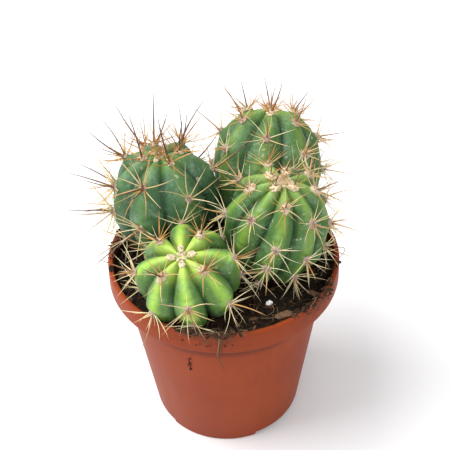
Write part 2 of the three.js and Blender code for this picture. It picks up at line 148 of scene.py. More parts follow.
class Graph:
    """A material's node tree, with short ways to add the nodes that the finishes use."""

    def __init__(self, name: str) -> None:
        """Makes a material that holds one Principled shader.

        Args:
            name: the material's name.
        """
        self.material = bpy.data.materials.new(name)
        self.material.use_nodes = True
        self.tree = self.material.node_tree
        self.shader = self.tree.nodes["Principled BSDF"]
        self.place = self.node("ShaderNodeTexCoord").outputs["Object"]

    def node(self, kind: str, settings: dict | None = None, inputs: dict | None = None) -> bpy.types.Node:
        """Adds a node.

        Args:
            kind: the node's type name.
            settings: its settings, set first; "stops" are a ramp's (place, colour) pairs.
            inputs: values or links for its sockets, by name or number.

        Returns:
            The new node.
        """
        made = self.tree.nodes.new(kind)
        for key, setting in (settings or {}).items():
            if key == "stops":
                self._set_stops(made.color_ramp, setting)
            else:
                setattr(made, key, setting)
        for key, given in (inputs or {}).items():
            given = given.socket if isinstance(given, Value) else given
            if isinstance(given, bpy.types.NodeSocket):
                self.tree.links.new(given, made.inputs[key])
            else:
                made.inputs[key].default_value = given
        return made

    @staticmethod
    def _set_stops(ramp: bpy.types.ColorRamp, stops: list[tuple[float, tuple]]) -> None:
        """Gives a colour ramp its stops.

        Args:
            ramp: the ramp.
            stops: each stop's place from 0 to 1 and its colour.
        """
        while len(ramp.elements) < len(stops):
            ramp.elements.new(1.0)
        for element, (place, colour) in zip(ramp.elements, stops):
            element.position = place
            element.color = (*colour, 1.0)

    def attribute(self, name: str) -> Value:
        """A number stored on the piece's own vertices."""
        made = self.node("ShaderNodeAttribute", {"attribute_name": name})
        return Value(self, made.outputs["Fac"])

    def stretched(self, scale: tuple[float, float, float]) -> bpy.types.NodeSocket:
        """Object coordinates scaled by an amount along each axis."""
        made = self.node("ShaderNodeMapping", None, {"Vector": self.place, "Scale": scale})
        return made.outputs["Vector"]

    def noise(self, scale: float, detail: float = 2.0, rough: float = 0.5,
              place: bpy.types.NodeSocket | None = None) -> Value:
        """Fractal noise from 0 to 1, with its scale per metre."""
        inputs = {"Vector": place or self.place, "Scale": scale, "Detail": detail, "Roughness": rough}
        return Value(self, self.node("ShaderNodeTexNoise", None, inputs).outputs[0])

    def cells(self, scale: float) -> Value:
        """The distance to the nearest of many scattered points, with its scale per metre."""
        inputs = {"Vector": self.place, "Scale": scale}
        return Value(self, self.node("ShaderNodeTexVoronoi", None, inputs).outputs["Distance"])

    def mix(self, share: Value | float, first: object, second: object) -> bpy.types.NodeSocket:
        """Two colours mixed by a share."""
        inputs = {MIX_SHARE: share, MIX_FIRST: self._colour(first), MIX_SECOND: self._colour(second)}
        return self.node("ShaderNodeMix", {"data_type": "RGBA"}, inputs).outputs[MIX_RESULT]

    @staticmethod
    def _colour(given: object) -> object:
        """A colour of three numbers gets its fourth; a socket is left alone."""
        return (*given, 1.0) if isinstance(given, tuple) else given

    def ramp(self, value: Value, stops: list[tuple[float, tuple]]) -> bpy.types.NodeSocket:
        """A colour that runs through stops as a value goes from 0 to 1."""
        return self.node("ShaderNodeValToRGB", {"stops": stops}, {"Fac": value}).outputs["Color"]

    def bump(self, height: Value, distance: float) -> bpy.types.NodeSocket:
        """A normal raised by a height, with its full size in metres."""
        return self.node("ShaderNodeBump", None, {"Height": height, "Distance": distance}).outputs["Normal"]

    def finish(self, colour: object, roughness: Value | float, normal: bpy.types.NodeSocket | None = None,
               **plain: float) -> bpy.types.Material:
        """Joins the results to the shader.

        Args:
            colour: the base colour, as a socket or three numbers.
            roughness: the roughness, as a value or a number.
            normal: the bumped normal, or None.
            plain: sockets that are the same all over, by name with _ for spaces.

        Returns:
            The finished material.
        """
        given = {"Base Color": self._colour(colour), "Roughness": roughness, "Normal": normal}
        for key, item in given.items():
            item = item.socket if isinstance(item, Value) else item
            if isinstance(item, bpy.types.NodeSocket):
                self.tree.links.new(item, self.shader.inputs[key])
            elif item is not None:
                self.shader.inputs[key].default_value = item
        for key, number in plain.items():
            self.shader.inputs[key.replace("_", " ")].default_value = number
        return self.material


# Finishes


@dataclass(frozen=True)
class PotFinish:
    """Satin moulded plastic in a terracotta colour, with scuffs, dust and soil stains by the rim, and painted
    shade in a band under the collar.
    """

    clay: tuple = (0.255, 0.043, 0.0095)
    deep: tuple = (0.222, 0.034, 0.0075)
    dust: tuple = (0.38, 0.10, 0.045)
    dirt: tuple = (0.085, 0.038, 0.022)
    # Painted shade: the colour of the dark band under the collar's overhang.
    grime: tuple = (0.075, 0.014, 0.006)

    def material(self) -> bpy.types.Material:
        """Builds the material.

        Returns:
            The finished material.
        """
        g = Graph("pot_plastic")
        cloud = g.noise(28.0, 4.0, 0.6)
        streak = g.noise(1.0, 3.0, 0.6, g.stretched((240.0, 240.0, 14.0)))
        grain = g.noise(2600.0, 2.0)
        colour = g.mix(cloud.step(0.32, 0.7), self.deep, self.clay)
        colour = g.mix(streak.step(0.5, 0.78) * 0.12, colour, self.dust)
        scuff = g.noise(1.0, 4.0, 0.7, g.stretched((90.0, 90.0, 700.0))).step(0.62, 0.72)
        colour = g.mix(scuff * 0.14, colour, self.dust)
        # Painted shade: darkens the band under the collar, where the overhang would shade the wall.
        colour = g.mix(g.attribute("grime") * (0.5 + 0.25 * cloud), colour, self.grime)
        stain = g.attribute("stain") * g.noise(170.0, 5.0, 0.7).step(0.36, 0.6)
        colour = g.mix(stain, colour, self.dirt)
        roughness = 0.42 + 0.14 * cloud + 0.3 * stain
        height = grain * 0.25 + streak * 0.5 + g.noise(420.0, 3.0) * 0.4
        return g.finish(colour, roughness, g.bump(height, 0.00006), Specular_IOR_Level=0.11)


@dataclass(frozen=True)
class SoilFinish:
    """Damp peat: near black, with browner grains and threads."""

    wet: tuple = (0.009, 0.0055, 0.0035)
    dark: tuple = (0.028, 0.016, 0.0095)
    brown: tuple = (0.085, 0.045, 0.025)

    def material(self) -> bpy.types.Material:
        """Builds the material.

        Returns:
            The finished material.
        """
        g = Graph("potting_soil")
        grain = g.noise(1500.0, 5.0, 0.7)
        patch = g.noise(230.0, 3.0, 0.6)
        colour = g.mix(grain.step(0.35, 0.62), self.wet, self.dark)
        colour = g.mix(grain.step(0.6, 0.76) * patch.step(0.42, 0.6), colour, self.brown)
        normal = g.bump(grain + patch * 0.8, 0.0008)
        return g.finish(colour, 0.8 + 0.2 * patch, normal, Specular_IOR_Level=0.1)


@dataclass(frozen=True)
class CrumbFinish:
    """Loose crumbs, bark and root threads, each with its own shade from its own vertices."""

    name: str
    stops: tuple
    grain: float = 1800.0
    relief: float = 0.0003

    def material(self) -> bpy.types.Material:
        """Builds the material.

        Returns:
            The finished material.
        """
        g = Graph(self.name)
        grain = g.noise(self.grain, 4.0, 0.65)
        shade = g.attribute("shade")
        colour = g.ramp(shade + (grain - 0.5) * 0.5, list(self.stops))
        return g.finish(colour, 0.82, g.bump(grain, self.relief), Specular_IOR_Level=0.15)


@dataclass(frozen=True)
class StoneFinish:
    """A porous grain or a pebble."""

    name: str
    low: tuple
    high: tuple
    scale: float
    relief: float

    def material(self) -> bpy.types.Material:
        """Builds the material.

        Returns:
            The finished material.
        """
        g = Graph(self.name)
        pits = g.cells(self.scale)
        cloud = g.noise(self.scale * 0.6, 4.0, 0.6)
        colour = g.mix((pits + cloud * 0.5).step(0.2, 0.85), self.low, self.high)
        return g.finish(colour, 0.9, g.bump(pits + cloud, self.relief))


@dataclass(frozen=True)
class SkinFinish:
    """Waxy plant skin: painted shade, darker and bluer, in the grooves, a painted highlight on the crests,
    fine pores and a few scars.
    """

    name: str
    # The crest colour holds a painted highlight and the groove colour painted shade; the flank colour lies
    # between them.
    crest: tuple
    flank: tuple
    groove: tuple
    young: tuple
    cork: tuple = (0.22, 0.155, 0.065)
    scar: tuple = (0.62, 0.58, 0.42)
    bloom: tuple = (0.36, 0.50, 0.40)

    def material(self) -> bpy.types.Material:
        """Builds the material.

        Returns:
            The finished material.
        """
        g = Graph(self.name)
        crest, tall = g.attribute("crest"), g.attribute("tall")
        near, age = g.attribute("near"), g.attribute("age")
        cloud = g.noise(95.0, 4.0, 0.6)
        mottle = g.noise(420.0, 4.0, 0.65)
        pores = g.cells(1500.0)
        # Painted light: the grooves' darker, bluer colour is painted shade and the crests' brighter colour a
        # painted highlight.
        across = crest + (cloud - 0.5) * 0.3 + (mottle - 0.5) * 0.16
        colour = g.mix(across.step(-0.02, 0.27), self.groove, self.flank)
        colour = g.mix(across.step(0.46, 1.0), colour, self.crest)
        # A random dark mottle, in the groove colour.
        colour = g.mix(g.noise(620.0, 5.0, 0.7).step(0.48, 0.72) * 0.3, colour, self.groove)
        fresh = (1.0 - age) * 0.75 + near * 0.2 + (cloud - 0.5) * 0.25
        colour = g.mix(fresh.step(0.1, 0.9), colour, self.young)
        colour = g.mix(g.noise(160.0, 5.0, 0.75).step(0.48, 0.7) * 0.24, colour, self.bloom)
        colour = g.mix((1.0 - pores.step(0.1, 0.5)) * 0.10, colour, self.bloom)
        low = (1.0 - (tall + (mottle - 0.5) * 0.22).step(0.02, 0.2)) * 0.75
        colour = g.mix(low, colour, self.cork)
        specks = g.noise(300.0, 1.0).step(0.71, 0.76) * 0.4 + (1.0 - g.cells(55.0).step(0.01, 0.03)) * 0.35
        colour = g.mix(specks * (1.0 - near), colour, self.scar)
        height = mottle * 0.5 + pores * 0.3 + cloud * 0.8
        roughness = 0.40 + 0.16 * cloud + 0.1 * low
        return g.finish(colour, roughness, g.bump(height, 0.00026),
                        Subsurface_Weight=0.1, Subsurface_Scale=0.002, Specular_IOR_Level=0.24)


@dataclass(frozen=True)
class SpineFinish:
    """Horny spines: straw to brown by tone, amber at the root, dark at the tip, greyer with age."""

    straw: tuple = (0.80, 0.69, 0.41)
    gold: tuple = (0.48, 0.235, 0.042)
    brown: tuple = (0.085, 0.03, 0.013)
    amber: tuple = (0.42, 0.18, 0.03)
    tip: tuple = (0.09, 0.04, 0.02)
    grey: tuple = (0.50, 0.44, 0.36)

    def material(self) -> bpy.types.Material:
        """Builds the material.

        Returns:
            The finished material.
        """
        g = Graph("spine_horn")
        along, tone, age = g.attribute("along"), g.attribute("tone"), g.attribute("age")
        rings = g.noise(900.0, 2.0, 0.6)
        colour = g.ramp(tone + (rings - 0.5) * 0.25, [(0.0, self.straw), (0.5, self.gold), (1.0, self.brown)])
        colour = g.mix((1.0 - along.step(0.0, 0.3)) * (0.15 + 0.5 * tone), colour, self.amber)
        colour = g.mix(age * rings.step(0.4, 0.7) * 0.35, colour, self.grey)
        colour = g.mix(along.step(0.7, 1.0) * (0.15 + 0.6 * tone), colour, self.tip)
        return g.finish(colour, 0.38 + 0.2 * rings, g.bump(rings, 0.00003),
                        Subsurface_Weight=0.15, Subsurface_Scale=0.001)


@dataclass(frozen=True)
class WoolFinish:
    """Felt of the areoles: cream when new, greyish pink-brown when old."""

    new: tuple = (0.76, 0.64, 0.42)
    old: tuple = (0.44, 0.33, 0.28)
    shade: tuple = (0.17, 0.10, 0.07)

    def material(self) -> bpy.types.Material:
        """Builds the material.

        Returns:
            The finished material.
        """
        g = Graph("areole_wool")
        age, along = g.attribute("age"), g.attribute("along")
        felt = g.noise(2400.0, 5.0, 0.7)
        colour = g.mix((age + (felt - 0.5) * 0.4).step(0.05, 0.95), self.new, self.old)
        colour = g.mix((1.0 - felt.step(0.3, 0.6)) * (0.2 + 0.3 * age), colour, self.shade)
        colour = g.mix(along * 0.35, colour, self.new)
        return g.finish(colour, 0.95, g.bump(felt, 0.00025), Sheen_Weight=0.3)


# Mesh helpers


class Workshop:
    """Turns worked bmeshes into finished pieces and hands out the shared small shapes."""

    def __init__(self) -> None:
        """Makes the needle shapes that are repeated many times."""
        self.needle = self._needle(sides=5, rings=5)
        self.hair = self._needle(sides=3, rings=2)
        self.thread = self._needle(sides=4, rings=9)

    def piece(self, name: str, bm: bmesh.types.BMesh, material: bpy.types.Material, slot: str,
              replaces: str | None = None, crisp: float | None = None) -> bpy.types.Object:
        """Makes an object of a bmesh in millimetres.

        Args:
            name: the piece's name.
            bm: its shape, which is freed.
            material: its finish.
            slot: the record's material slot; not used.
            replaces: the CAD node that it stands for, if any.
            crisp: edges turned by more than this angle in degrees stay sharp.

        Returns:
            The object, at the origin, riding on the pot.
        """
        bmesh.ops.scale(bm, vec=(MM, MM, MM), verts=bm.verts)
        mesh = to_mesh(name, bm)
        mesh.shade_smooth()
        if crisp is not None:
            mesh.set_sharp_from_angle(angle=math.radians(crisp))
        mesh.materials.append(material)
        made = add_object(name, mesh)
        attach(made, "root")
        if replaces:
            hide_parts(replaces)
        LOG.info("%s: %d faces", name, len(mesh.polygons))
        return made

    @staticmethod
    def _needle(sides: int, rings: int) -> bpy.types.Mesh:
        """A tube of unit radius from z = 0 to a point at z = 1, drawn out ring by ring.

        Args:
            sides: the number of sides.
            rings: the number of rings up to the point.

        Returns:
            The shape, with the layers that threads, hairs and spines use.
        """
        bm = bmesh.new()
        along = bm.verts.layers.float.new("along")
        for name in ("tone", "age", "shade"):
            bm.verts.layers.float.new(name)
        bmesh.ops.create_circle(bm, segments=sides, radius=1.0)
        last = bm.edges[:]
        bmesh.ops.contextual_create(bm, geom=last)
        for _ in range(rings):
            made = bmesh.ops.extrude_edge_only(bm, edges=last)["geom"]
            ring = {g for g in made if isinstance(g, bmesh.types.BMVert)}
            last = [e for e in bm.edges if e.verts[0] in ring and e.verts[1] in ring]
            bmesh.ops.translate(bm, verts=list(ring), vec=(0.0, 0.0, 1.0 / rings))
        bmesh.ops.pointmerge(bm, verts=list({v for e in last for v in e.verts}), merge_co=(0.0, 0.0, 1.0))
        bmesh.ops.recalc_face_normals(bm, faces=bm.faces)
        for vert in bm.verts:
            vert[along] = vert.co.z
        return to_mesh("shape", bm)


def to_mesh(name: str, bm: bmesh.types.BMesh) -> bpy.types.Mesh:
    """Turns a bmesh into a mesh and frees it.

    Args:
        name: the mesh's name.
        bm: the bmesh.

    Returns:
        The mesh.
    """
    mesh = bpy.data.meshes.new(name)
    bm.to_mesh(mesh)
    bm.free()
    return mesh


def add_object(name: str, content: bpy.types.ID) -> bpy.types.Object:
    """Makes an object of a mesh, light or camera and links it to the scene.

    Args:
        name: the object's name.
        content: its mesh, light or camera.

    Returns:
        The object.
    """
    made = bpy.data.objects.new(name, content)
    bpy.context.scene.collection.objects.link(made)
    return made


def lathe(outline: list[tuple[float, float]], steps: int) -> bmesh.types.BMesh:
    """Spins a half section, given as radius and height, into a closed body.

    Args:
        outline: the points from axis to axis.
        steps: the number of steps round.

    Returns:
        The body.
    """
    bm = bmesh.new()
    verts = [bm.verts.new((r, 0.0, z)) for r, z in outline]
    edges = [bm.edges.new(pair) for pair in zip(verts, verts[1:])]
    bmesh.ops.spin(bm, geom=verts + edges, cent=(0, 0, 0), axis=(0, 0, 1), angle=TURN,
                   steps=steps, use_merge=True)
    bmesh.ops.remove_doubles(bm, verts=bm.verts, dist=WELD)
    return bm


def add_shape(bm: bmesh.types.BMesh, shape: bpy.types.Mesh) -> list[bmesh.types.BMVert]:
    """Copies a small shape into a bmesh and returns its vertices.

    Args:
        bm: the bmesh that takes it.
        shape: the small shape.

    Returns:
        The copy's vertices.
    """
    before = len(bm.verts)
    bm.from_mesh(shape)
    bm.verts.ensure_lookup_table()
    return bm.verts[before:]


def layers(bm: bmesh.types.BMesh, *names: str) -> list[bmesh.types.BMLayerItem]:
    """Float layers of a bmesh's vertices, made where they are missing."""
    return [bm.verts.layers.float.get(n) or bm.verts.layers.float.new(n) for n in names]


def square_frame(way: Vector) -> tuple[Vector, Vector]:
    """Two unit directions square to a way and to each other."""
    side = way.cross(Vector((0.0, 0.0, 1.0) if abs(way.z) < 0.9 else (1.0, 0.0, 0.0))).normalized()
    return side, way.cross(side).normalized()


# Pot


@dataclass
class Pot:
    """The pot: a tapered wall with a stepped collar, a raised floor, feet, notches and drain holes."""

    height: float = 104.2
    rim: float = 60.0
    collar: float = 11.7
    flare: float = 0.3
    wall_top: float = 53.1
    foot: float = 41.0
    wall: float = 1.7
    lip: float = 2.6
    foot_height: float = 2.8
    foot_width: float = 8.5
    pad: float = 12.0
    floor: float = 2.0
    notches: int = 3
    notch_turn: float = math.radians(-43.0)
    notch_width: float = 36.0
    drains: int = 6
    drain_radius: float = 2.8
    drain_ring: float = 22.0
    drain_sides: int = 24
    # Depths under the collar of the wall's rings; the painted shade band runs between them.
    shade_band_rings: tuple[float, ...] = (14.5, 13.0, 11.5, 9.5, 6.0)
    round_edge: float = 0.85
    round_steps: int = 4
    square_turn: float = 25.0
    steps: int = 160

    def wall_radius(self, z: float) -> float:
        """The radius of the outer wall at a height."""
        return self.foot + (self.wall_top - self.foot) * z / (self.height - self.collar)

    def outline(self) -> list[tuple[float, float]]:
        """The closed half section, as radius and height, with its edges still square.

        Returns:
            The points from the middle of the underside round to the middle of the inner floor.
        """
        low = self.height - self.collar
        inner = self.rim - self.lip
        floor = self.foot_height + self.floor
        foot_in = self.foot - self.foot_width
        return [
            (0.0, 0.0),
            (self.pad, 0.0),
            (self.pad, self.foot_height),
            (foot_in, self.foot_height),
            (foot_in, 0.0),
            (self.foot, 0.0),
            *((self.wall_radius(low - depth), low - depth) for depth in self.shade_band_rings),
            (self.wall_radius(low), low),
            (self.rim + self.flare, low),
            (self.rim, self.height),
            (inner, self.height),
            (inner, low + self.wall),
            (self.wall_radius(low) - self.wall, low + self.wall),
            (self.wall_radius(floor) - self.wall, floor),
            (0.0, floor),
        ]

    def build(self, shop: Workshop) -> bpy.types.Object:
        """Spins the section, rounds its edges, and cuts the notches and drain holes.

        Args:
            shop: makes the pieces and holds the small shapes.

        Returns:
            The pot's piece.
        """
        bm = lathe(self.outline(), self.steps)
        bmesh.ops.recalc_face_normals(bm, faces=bm.faces)
        square = math.radians(self.square_turn)
        rings = [e for e in bm.edges if len(e.link_faces) == 2 and e.calc_face_angle() > square]
        bmesh.ops.bevel(bm, geom=rings, offset=self.round_edge, segments=self.round_steps, profile=0.5,
                        affect="EDGES", material=-1, clamp_overlap=True)
        body = self._cut(bm)
        # Each vertex holds its soil stain and its share of the painted shade band under the collar.
        stain, grime = layers(body, "stain", "grime")
        for vert in body.verts:
            vert[stain] = self._stain(vert.co)
            vert[grime] = self._painted_shade(vert.co)
        return shop.piece("pot_shell", body, PotFinish().material(), "pot_plastic", "pot", crisp=40.0)

    def _painted_shade(self, at: Vector) -> float:
        """Where shade is painted on the outer wall, as a dark band in the corner under the collar.

        Args:
            at: a point of the pot.

        Returns:
            The amount, from 0 to 1.
        """
        low, near = self.height - self.collar, 0.3
        outside = math.hypot(at.x, at.y) > self.wall_radius(at.z) - near
        if not outside or at.z >= low + near:
            return 0.0
        return smoothstep(at.z, low - self.shade_band_rings[0], low - self.shade_band_rings[3])

    def _stain(self, at: Vector) -> float:
        """Where soil has stained the rim: inside all round, and over it at the front and right.

        Args:
            at: a point of the pot.

        Returns:
            The amount, from 0 to 1.
        """
        angle = math.degrees(math.atan2(at.y, at.x))
        inside = smoothstep(self.rim - math.hypot(at.x, at.y), 1.2, 2.6) * smoothstep(at.z, 90.0, 96.0)
        top = smoothstep(at.z, self.height - 6.0, self.height)
        front = bell(angle + 98.0, 16.0) + 0.9 * bell(angle + 40.0, 14.0) + 0.6 * bell(angle - 175.0, 14.0)
        return min(1.0, 0.55 * inside + top * front)

    def _cut(self, bm: bmesh.types.BMesh) -> bmesh.types.BMesh:
        """Takes the foot's notches and the drain holes out of the spun body.

        Args:
            bm: the spun body, which is freed.

        Returns:
            The cut body.
        """
        cutters = bmesh.new()
        length = self.foot_width * 3.0
        for i in range(self.notches):
            spot = Matrix.Rotation(self.notch_turn + i * TURN / self.notches, 4, "Z")
            spot @= Matrix.Translation((self.foot - self.foot_width + length / 2.0 - 2.0, 0.0, 0.0))
            spot @= Matrix.Diagonal((length, self.notch_width, self.foot_height * 2.0, 1.0))
            bmesh.ops.create_cube(cutters, size=1.0, matrix=spot)
        for i in range(self.drains):
            spot = Matrix.Rotation(self.notch_turn + i * TURN / self.drains, 4, "Z")
            spot @= Matrix.Translation((self.drain_ring, 0.0, 0.0))
            bmesh.ops.create_cone(cutters, segments=self.drain_sides, radius1=self.drain_radius,
                                  radius2=self.drain_radius, depth=20.0, cap_ends=True, matrix=spot)
        blank = add_object("blank", to_mesh("blank", bm))
        tool = add_object("cutters", to_mesh("cutters", cutters))
        cut = blank.modifiers.new("cut", "BOOLEAN")
        cut.object, cut.operation, cut.solver = tool, "DIFFERENCE", "EXACT"
        shaped = bmesh.new()
        shaped.from_object(blank, bpy.context.evaluated_depsgraph_get())
        for item in (blank, tool):
            bpy.data.objects.remove(item)
        return shaped


# Soil


@dataclass
class Soil:
    """The potting soil: heaped at the front, lumpy, with plain holes for the stems."""

    pot: Pot
    level: float = SOIL_LEVEL
    heap: float = 3.2
    heap_from: float = 18.0
    heap_to: float = 52.0
    lump: float = 0.8
    gap: float = 0.3
    stem_gap: float = 0.45
    litter_gap: float = 1.5
    rings: int = 92
    steps: int = 230
    root: float = STEM_ROOT
    holes: list["Plant"] = field(default_factory=list)

    def top(self, x: float, y: float) -> float:
        """The height of the solid's surface.

        Args:
            x: the place to the right, in mm.
            y: the place to the back, in mm.

        Returns:
            The height, in mm.
        """
        heaped = smoothstep(-y, self.heap_from, self.heap_to)
        lumps = math.sin(0.21 * x + 1.3) * math.cos(0.19 * y + 0.4)
        lumps += 0.7 * math.sin(0.43 * x - 0.31 * y + 2.0)
        return self.level + self.heap * heaped + self.lump * lumps

    def fine_top(self, x: float, y: float) -> float:
        """The same surface with its crumb structure.

        Args:
            x: the place to the right, in mm.
            y: the place to the back, in mm.

        Returns:
            The height, in mm.
        """
        at = Vector((x, y, 0.0))
        crumb = 0.55 - fractal.voronoi(at * 0.3)[0][0]
        small = 0.5 - fractal.voronoi(at * 0.8 + Vector((7.0, 3.0, 1.0)))[0][0]
        rough = fractal.fractal(at * 0.22, 0.9, 2.1, 4)
        return self.top(x, y) + 1.5 * crumb + 0.8 * small + 0.8 * rough - 0.7

    def in_hole(self, x: float, y: float) -> bool:
        """Whether a place on the surface lies over a stem's hole."""
        return any(p.stem_holds(Vector((x, y, self.level)), self.stem_gap) for p in self.holes)

    def build(self, shop: Workshop) -> None:
        """Spins the soil's section, shapes its surface and sinks the holes for the stems.

        Args:
            shop: makes the pieces and holds the small shapes.
        """
        pot, gap = self.pot, self.gap
        edge = pot.rim - pot.lip - gap
        low = pot.height - pot.collar
        bottom = pot.foot_height + pot.floor + gap
        line = [(edge * i / self.rings, self.level) for i in range(self.rings + 1)]
        line += [
            (edge, low + pot.wall + gap),
            (pot.wall_radius(low) - pot.wall - gap, low + pot.wall + gap),
            (pot.wall_radius(bottom) - pot.wall - gap, bottom),
            (0.0, bottom),
        ]
        bm = lathe(line, self.steps)
        for vert in bm.verts:
            if vert.co.z > self.level - 0.01:
                x, y = vert.co.x, vert.co.y
                vert.co.z = self.level - self.root if self.in_hole(x, y) else self.fine_top(x, y)
        bmesh.ops.recalc_face_normals(bm, faces=bm.faces)
        shop.piece("soil_body", bm, SoilFinish().material(), "potting_soil", "soil")

    def free_spot(self, rng: random.Random, inset: float) -> Vector | None:
        """A place on the open soil, or None where a stem stands.

        Args:
            rng: the random draws.
            inset: how far to stay inside the rim, in mm.

        Returns:
            The place on the surface, or None.
        """
        edge = self.pot.rim - self.pot.lip - inset
        radius, angle = edge * math.sqrt(rng.random()), TURN * rng.random()
        spot = polar(radius, angle, self.level)
        if any(p.stem_holds(spot, self.litter_gap) for p in self.holes):
            return None
        x, y = radius * math.cos(angle), radius * math.sin(angle)
        return Vector((x, y, self.fine_top(x, y)))


@dataclass
class Litter:
    """Loose crumbs, bark flakes and root threads on the soil, and the spill on the pot's rim.

    A spill is given by the angle of its middle and its spread in degrees, and its number of crumbs.
    Threads are caught on the rim at the angles in caught. Small crumbs have plainer forms.
    """

    soil: Soil
    seed: int = 7
    crumbs: int = 2100
    threads: int = 420
    dark: tuple = (
        (0.0, (0.008, 0.005, 0.0035)),
        (0.4, (0.03, 0.017, 0.0105)),
        (0.75, (0.08, 0.042, 0.023)),
        (1.0, (0.19, 0.11, 0.06)),
    )
    tan: tuple = ((0.0, (0.05, 0.025, 0.014)), (0.5, (0.16, 0.085, 0.045)), (1.0, (0.42, 0.29, 0.17)))
    dull_share: float = 0.7
    plain_below: float = 1.7
    crumb_spans: tuple = ((0.9, 2.1), (0.5, 1.0), (0.4, 0.75))
    spills: tuple = (
        (-103.0, 7.0, 70),
        (-91.0, 4.0, 70),
        (-46.0, 9.0, 44),
        (-28.0, 10.0, 40),
        (178.0, 9.0, 30),
    )
    fleck_turn: float = -112.0
    fleck_top: float = 75.5
    fleck_length: float = 9.5
    fleck_crumbs: int = 16
    caught: tuple = (
        -108, -104, -101, -97, -95, -93, -90, -88, -84, -80, -58, -49, -45, -41, -33, -27, 170, 176, 181,
    )

    def build(self, shop: Workshop) -> None:
        """Scatters the crumbs and threads by a seeded rule.

        Args:
            shop: makes the pieces and holds the small shapes.
        """
        rng = random.Random(self.seed)
        crumbs = bmesh.new()
        for _ in range(self.crumbs):
            spot = self.soil.free_spot(rng, 1.2)
            size = 0.6 + 3.2 * rng.random() ** 4
            if spot:
                dull = rng.random() < self.dull_share
                shade = 0.25 * rng.random() if dull else rng.uniform(0.3, 0.95)
                self.crumb(crumbs, rng, spot, size, shade)
        for angle, radius, high, size in self.spill(rng):
            self.crumb(crumbs, rng, polar(radius, angle, high), size, 0.15 + 0.6 * rng.random())
        shop.piece("soil_crumbs", crumbs, CrumbFinish("crumb", self.dark).material(), "potting_soil")

        threads = bmesh.new()
        for _ in range(self.threads):
            spot = self.soil.free_spot(rng, 4.0)
            if spot:
                self.thread(threads, shop, rng, spot, rng.uniform(3.0, 13.0), rng.uniform(0.09, 0.2))
        self.rim_threads(threads, shop, rng)
        shop.piece("root_threads", threads, CrumbFinish("root_thread", self.tan).material(), "potting_soil")

    def spill(self, rng: random.Random) -> Iterable[tuple[float, float, float, float]]:
        """Angle, radius, height and size of each crumb that lies on the rim or clings under it.

        Args:
            rng: the random draws.

        Returns:
            The crumbs, one after the other.
        """
        pot = self.soil.pot
        for middle, spread, count in self.spills:
            for _ in range(count):
                angle = math.radians(rng.gauss(middle, spread))
                yield angle, rng.uniform(57.0, pot.rim), pot.height, 0.5 + 2.4 * rng.random() ** 3
            for _ in range(count // 4):
                angle = math.radians(rng.gauss(middle, spread * 0.6))
                high = pot.height - 7.0 * rng.random() ** 1.6
                yield angle, pot.rim + 0.15, high, 0.4 + 1.1 * rng.random() ** 2
        for i in range(self.fleck_crumbs):
            high = self.fleck_top - self.fleck_length * i / (self.fleck_crumbs - 1)
            angle = math.radians(self.fleck_turn + rng.gauss(0.0, 0.7))
            yield angle, pot.wall_radius(high), high, 0.5 + rng.random()

    def crumb(self, bm: bmesh.types.BMesh, rng: random.Random, at: Vector, size: float, shade: float) -> None:
        """Adds one crumb, squashed and roughened, half sunk into what it lies on.

        Args:
            bm: the bmesh that takes it.
            rng: the random draws.
            at: its place.
            size: its rough size, in mm.
            shade: its shade, from 0 (dark) to 1.
        """
        layer = layers(bm, "shade")[0]
        fine = 1 if size < self.plain_below else 2
        made = bmesh.ops.create_icosphere(bm, subdivisions=fine, radius=0.5)["verts"]
        turn = Matrix.Rotation(TURN * rng.random(), 3, "Z") @ Matrix.Rotation(rng.uniform(-0.5, 0.5), 3, "X")
        form = Vector([size * rng.uniform(*span) for span in self.crumb_spans])
        shift = Vector((rng.random() * 50.0, rng.random() * 50.0, 0.0))
        for vert in made:
            rough = 1.0 + 0.6 * fractal.noise(vert.co * 3.1 + shift)
            vert.co = at + turn @ (vert.co * rough * form)
            vert.co.z += form.z * 0.12
            vert[layer] = shade

    @staticmethod
    def thread(bm: bmesh.types.BMesh, shop: Workshop, rng: random.Random, at: Vector, length: float,
               radius: float, path: Callable[[float], Vector] | None = None) -> None:
        """Adds one root thread.

        Args:
            bm: the bmesh that takes it.
            shop: holds the thread's plain shape.
            rng: the random draws.
            at: the place round which it wanders over the soil.
            length: its length if it wanders.
            radius: its radius where it starts.
            path: its line from 0 to 1, or None for a thread that wanders.
        """
        shade = layers(bm, "shade")[0]
        angle, swing, lift = TURN * rng.random(), rng.uniform(-1.6, 1.6), rng.uniform(0.2, 2.6)
        tone, probe = rng.random(), 0.03

        def wander(s: float) -> Vector:
            """A place on a low arch that turns as it goes.

            Args:
                s: how far along the thread, from 0 to 1.

            Returns:
                The place.
            """
            turn = angle + swing * s
            step = Vector((math.cos(turn), math.sin(turn), 0.0)) * (length * (s - 0.5))
            return at + step + Vector((0.0, 0.0, 0.1 + lift * math.sin(math.pi * s) * s))

        go = path or wander
        for vert in add_shape(bm, shop.thread):
            s = vert.co.z
            middle = go(s)
            way = (go(min(1.0, s + probe)) - go(max(0.0, s - probe))).normalized()
            side, other = square_frame(way)
            thick = radius * (1.0 - 0.6 * s)
            vert.co = middle + (side * vert.co.x + other * vert.co.y) * thick
            vert[shade] = tone

    def rim_threads(self, bm: bmesh.types.BMesh, shop: Workshop, rng: random.Random) -> None:
        """The root that hangs down the front, the loop at the right and threads caught on the rim.

        Args:
            bm: the bmesh that takes them.
            shop: holds the thread's plain shape.
            rng: the random draws.
        """
        top = self.soil.pot.height

        def hang(s: float) -> Vector:
            """Over the rim and down the front wall.

            Args:
                s: how far along the root, from 0 to 1.

            Returns:
                The place.
            """
            over = Vector((-3.6 + 1.6 * s + 0.9 * math.sin(7.0 * s), -58.0, top + 0.9))
            over.y -= 3.3 * smoothstep(s, 0.0, 0.3) - 8.0 * smoothstep(s, 0.5, 1.0)
            over.z -= 40.0 * max(0.0, s - 0.16) ** 1.1
            return over

